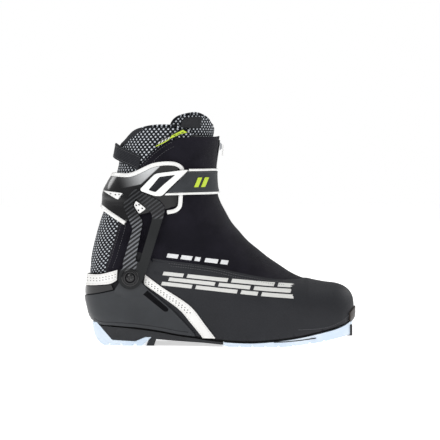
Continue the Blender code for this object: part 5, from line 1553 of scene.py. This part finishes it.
def collar():
    edge = 1.1
    angles = np.linspace(edge, 2 * math.pi - edge, 96)
    top = edge_station(angles, height_line(smooth_line(sorted(lowered(RIM, 2.6)))))
    behind = height_line(TENDON)
    bottom = edge_station(angles, behind)
    side = edge_station(angles, height_line(lowered(smooth_line(sorted(GAITER_TOP)), 9)))
    signed = np.abs(signed_angle(angles))
    bottom = np.where(signed > 2.2, bottom, np.minimum(side, bottom))
    share = smoothstep(signed, 2.12, 2.3)
    bottom = np.minimum(side, bottom) * (1 - share) + bottom * share
    s, angle = rings(angles, top, bottom, 64)
    x, z = side_view(s, np.abs(signed_angle(angle)))
    above_cuff = smoothstep(z, 196, 212)
    above_gaiter = smoothstep(z - np.interp(x, *np.array(sorted(GAITER_TOP)).T), 1, 9)
    at_the_ankle = smoothstep(z, 84, 96) * (1 - smoothstep(z, 138, 150))
    outer = -0.75 + 1.5 * above_cuff * above_gaiter + 0.5 * at_the_ankle
    inner = -3.0 - 2.2 * above_cuff
    pad, pinned = rolled_pad("collar_pad", s, angle, outer, inner, 7, 46)
    inflated(pad, pinned, 1.8)
    finish(pad, "mesh")
    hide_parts("collar_mesh", "achilles_mesh", "achilles_flex_panel")
    soft = pad.modifiers.new("soft", "SUBSURF")
    soft.levels = soft.render_levels = 1
    joins_cuff(pad)
    return s, angle


def rim_binding():
    """The thick black roll round the back of the collar, which thins out towards the front."""
    angles = np.linspace(1.95, 2 * math.pi - 1.95, 120)
    top = edge_station(angles, height_line(smooth_line(sorted(lowered(RIM, 2.6)))))
    signed = np.abs(signed_angle(angles))
    full = smoothstep(signed, 1.95, 2.45)
    middle = skin(top, angles, np.full(len(angles), -1.6))
    middle[:, 2] += 0.4
    ahead = np.gradient(middle, axis=0)
    ahead /= np.linalg.norm(ahead, axis=1, keepdims=True)
    outwards = skin(top, angles, np.full(len(angles), 1.0)) - skin(top, angles, np.zeros(len(angles)))
    up = np.cross(ahead, outwards)
    up /= np.linalg.norm(up, axis=1, keepdims=True)
    up *= np.sign(up[:, 2:3])
    turns = np.linspace(0, 2 * math.pi, 25)[:-1]
    radius = (1.0 + 2.4 * full)[:, None, None]
    ring = middle[:, None, :] + radius * (
        outwards[:, None, :] * np.cos(turns)[None, :, None] * 0.95
        + up[:, None, :] * (np.sin(turns)[None, :, None] * 1.25 - 0.45)
    )
    count, around = ring.shape[:2]
    index = np.arange(count * around).reshape(count, around)
    faces = []
    for k in range(count - 1):
        nxt = np.roll(index, -1, axis=1)
        faces += np.stack([index[k], nxt[k], nxt[k + 1], index[k + 1]], -1).tolist()
    faces += [index[0][::-1].tolist(), index[-1].tolist()]
    roll = from_faces("collar_roll", ring.reshape(-1, 3), faces)
    outward(roll)
    made(roll, "binding", "cuff")


def inner_lining():
    """One lining from the collar down into the foot."""
    angles = np.linspace(0.55, 2 * math.pi - 0.55, 90)
    top = edge_station(angles, height_line(smooth_line(sorted(lowered(RIM, 3.4)))))
    bottom = edge_station(angles, height_line([(-200, 70), (200, 70)]), high=float(station_of(20.0, 40.0)))
    s, angle = rings(angles, top, bottom, 44)
    _, z = side_view(s, np.abs(signed_angle(angle)))
    dip = -3.9 - 2.2 * smoothstep(z, 196, 212)
    lining, _ = rolled_pad("collar_lining", s, angle, dip, dip - 1.7, 3, 40)
    finish(lining, "liner")
    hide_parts("collar_liner")
    joins_cuff(lining)


def tongue():
    angles = np.linspace(-1.62, 1.62, 64)
    peak = [(-70, 228), (-57, 234), (-51, 242.5), (-42, 247.6), (-24, 251), (-14, 249), (-7, 245), (-1, 238)]
    peak += [(10, 236)]
    top = edge_station(angles, height_line(smooth_line(peak)))
    s, angle = rings(angles, top, np.full(len(angles), FAN_Z - 184.0), 30)
    _, z = side_view(s, np.abs(angle))
    free = smoothstep(z, 222, 236)
    pad, pinned = rolled_pad("tongue_pad", s, angle, -6.8 + 1.6 * free, -11.4 + 1.2 * free, 6, 10)
    inflated(pad, pinned, 2.0)
    finish(pad, "mesh")
    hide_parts("tongue_top")
    soft = pad.modifiers.new("soft", "SUBSURF")
    soft.levels = soft.render_levels = 1
    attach(pad, "cuff")


def on_collar(x, z):
    """How far the collar's face stands off the skin."""
    return 1.6 + 0.9 * smoothstep(z, 205, 222)


def collar_tab():
    outline = [(-69.5, 215.4), (-67, 221.2), (-57, 226.4), (-49, 230.8), (-40.5, 235.2), (-35, 231.6)]
    outline += [(-43, 228.8), (-52, 224.4), (-61, 219)]
    outline = spaced(filleted(outline, 0.8), 2.5)
    back = skin_plate("collar_tab_base", [outline], LATERAL, on_collar, -0.6, 0.75)
    made(back, "print_dark", "cuff")
    lime = [(-54.6, 224.2), (-52.0, 228.3), (-40.6, 234.2), (-36.2, 231.5), (-43.4, 229.7)]
    edge = [(-68.6, 216.0), (-60.6, 219.9), (-54.6, 223.6), (-54.2, 224.6), (-61, 220.9), (-68.2, 217.2)]
    both = [spaced(lime, 2.5), spaced(edge, 2.5)]
    tab = skin_plate("collar_tab_lime", both, LATERAL, on_collar, 0.5, 1.1, 2.0, 0)
    made(tab, "lime", "cuff", ["collar_tab"])
    bars = []
    for k in range(4):
        x = -66.4 + 3.3 * k
        low = float(np.interp(x, [-68, -55], [218.0, 224.4]))
        bars.append([(x, low), (x + 1.9, low + 0.9), (x + 2.7, low + 3.3), (x + 0.8, low + 2.4)])
    marks = skin_plate("collar_tab_bars", bars, LATERAL, on_collar, 0.6, 0.95, 2.0, 0)
    made(marks, "thread_light", "cuff")
    dark = []
    for k in range(3):
        x = -50.4 + 3.9 * k
        low = float(np.interp(x, [-52, -40], [227.0, 231.4]))
        dark.append([(x, low), (x + 2.6, low + 0.9), (x + 3.0, low + 1.8), (x + 0.4, low + 0.9)])
    marks = skin_plate("collar_tab_dark_bars", dark, LATERAL, on_collar, 0.9, 1.2, 2.0, 0)
    made(marks, "print_dark", "cuff")


def tongue_label():
    outline = [(-42.5, 236.4), (-20.5, 236.6), (-19.5, 248.6), (-33, 247.6), (-40.5, 243.4)]
    outline = spaced(filleted(outline, 2), 2.5)
    label = skin_plate("tongue_label", [outline], LATERAL, -1.6, -2.4, 0.9, 2.0, 0.2)
    made(label, "print_dark", "cuff")


def pull_loop():
    angles = np.linspace(2.12, 2 * math.pi - 2.12, 90)
    away = np.abs(angles - math.pi) / (math.pi - 2.12)
    middle = 211.5 - 13 * away**1.5
    half = np.linspace(7.5, -7.5, 9)[:, None]
    s = FAN_Z - middle[None, :] - half

    def standing_off(x, z, angle):
        return 2.0 + 5.2 * (1 - smoothstep(np.abs(angle - math.pi), 0.3, 0.9))

    angle = np.broadcast_to(angles, s.shape).copy()
    loop = shell("pull_loop_webbing", [(s, angle)], standing_off, 1.5, 0.3)
    made(loop, "webbing", "cuff", ["pull_loop"])
    rows = []
    for row in (1, 7):
        rows.append(grid_path(s[row], angles, standing_off(0, 0, angles) + 0.05))
    made(stitches("pull_loop_stitch", rows, 2.4, 1.7, 0.24), "thread_dark", "cuff")


# ---------------------------------------------------------------- the zip


def zip_line():
    stations = np.linspace(FAN_Z - 223.5, FAN_Z - 168.0, 40)
    tape = block(stations, np.linspace(-0.085, 0.085, 9))
    piece = shell("zip_tape", [tape], 1.25, 0.7, 0.2)
    made(piece, "black_stitch_fabric", "cuff", ["zipper_track"])
    points = []
    count = 50
    for k in range(count * 6):
        turn = 2 * math.pi * k / 6
        s = FAN_Z - 223.0 + 54.5 * k / (count * 6)
        base = skin(np.array([s]), np.array([0.0]), np.array([1.2]))[0]
        points.append((base[0] + 0.22 * math.cos(turn), base[1] + 1.25 * math.sin(turn), base[2]))
    teeth = tube("zip_teeth", points, 0.28, resolution=1)
    made(teeth, "zipper", "cuff")


# ---------------------------------------------------------------- the CAD nodes that stay

KEPT = {
    "sole_chassis": "chassis", "toe_bar": "steel", "toe_bar_housing": "black_rubber", "insole_board": "board",
    "footbed": "liner", "heel_counter": "black_stitch_fabric", "toe_puff": "board",
    "lace_guide_lateral": "webbing", "lace_guide_medial": "webbing", "cord_lock": "black_rubber",
    "pivot_washer_lateral": "steel", "pivot_washer_medial": "steel",
    "hook_patch": "black_rubber", "strap_anchor": "gloss_black", "zip_slider": "steel",
    "zip_pull": "white_trim",
}
BENDING = {"inner_boot": "liner", "tongue_instep": "liner", "laces": "lace"}


def keep_nodes():
    for name, material in KEPT.items():
        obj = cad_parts[name]
        for k in range(len(obj.material_slots)):
            obj.material_slots[k].link = "OBJECT"
            obj.material_slots[k].material = MATERIALS[material]
        obj.data.shade_smooth()
        obj.data.set_sharp_from_angle(angle=math.radians(KEPT_ANGLE))


def bend_insides():
    """Copies of the soft CAD nodes at the ankle, which stand in for the nodes themselves."""
    for name, material in BENDING.items():
        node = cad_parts[name]
        mesh = node.data.copy()
        mesh.transform(node.matrix_world)
        piece = linked(name + "_soft", mesh)
        finish(piece, material)
        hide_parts(name)
        joins_cuff(piece)


make_materials()
studio()
forefoot_outsole()
heel_outsole()
heel_pieces()
side_stripes()
vamp()
printed_marks()
toe_bumper()
cuff_shell()
cuff_trims()
cuff_arms()
pivots()
strap()
gaiter()
collar()
rim_binding()
inner_lining()
tongue()
collar_tab()
tongue_label()
pull_loop()
zip_line()
keep_nodes()
bend_insides()
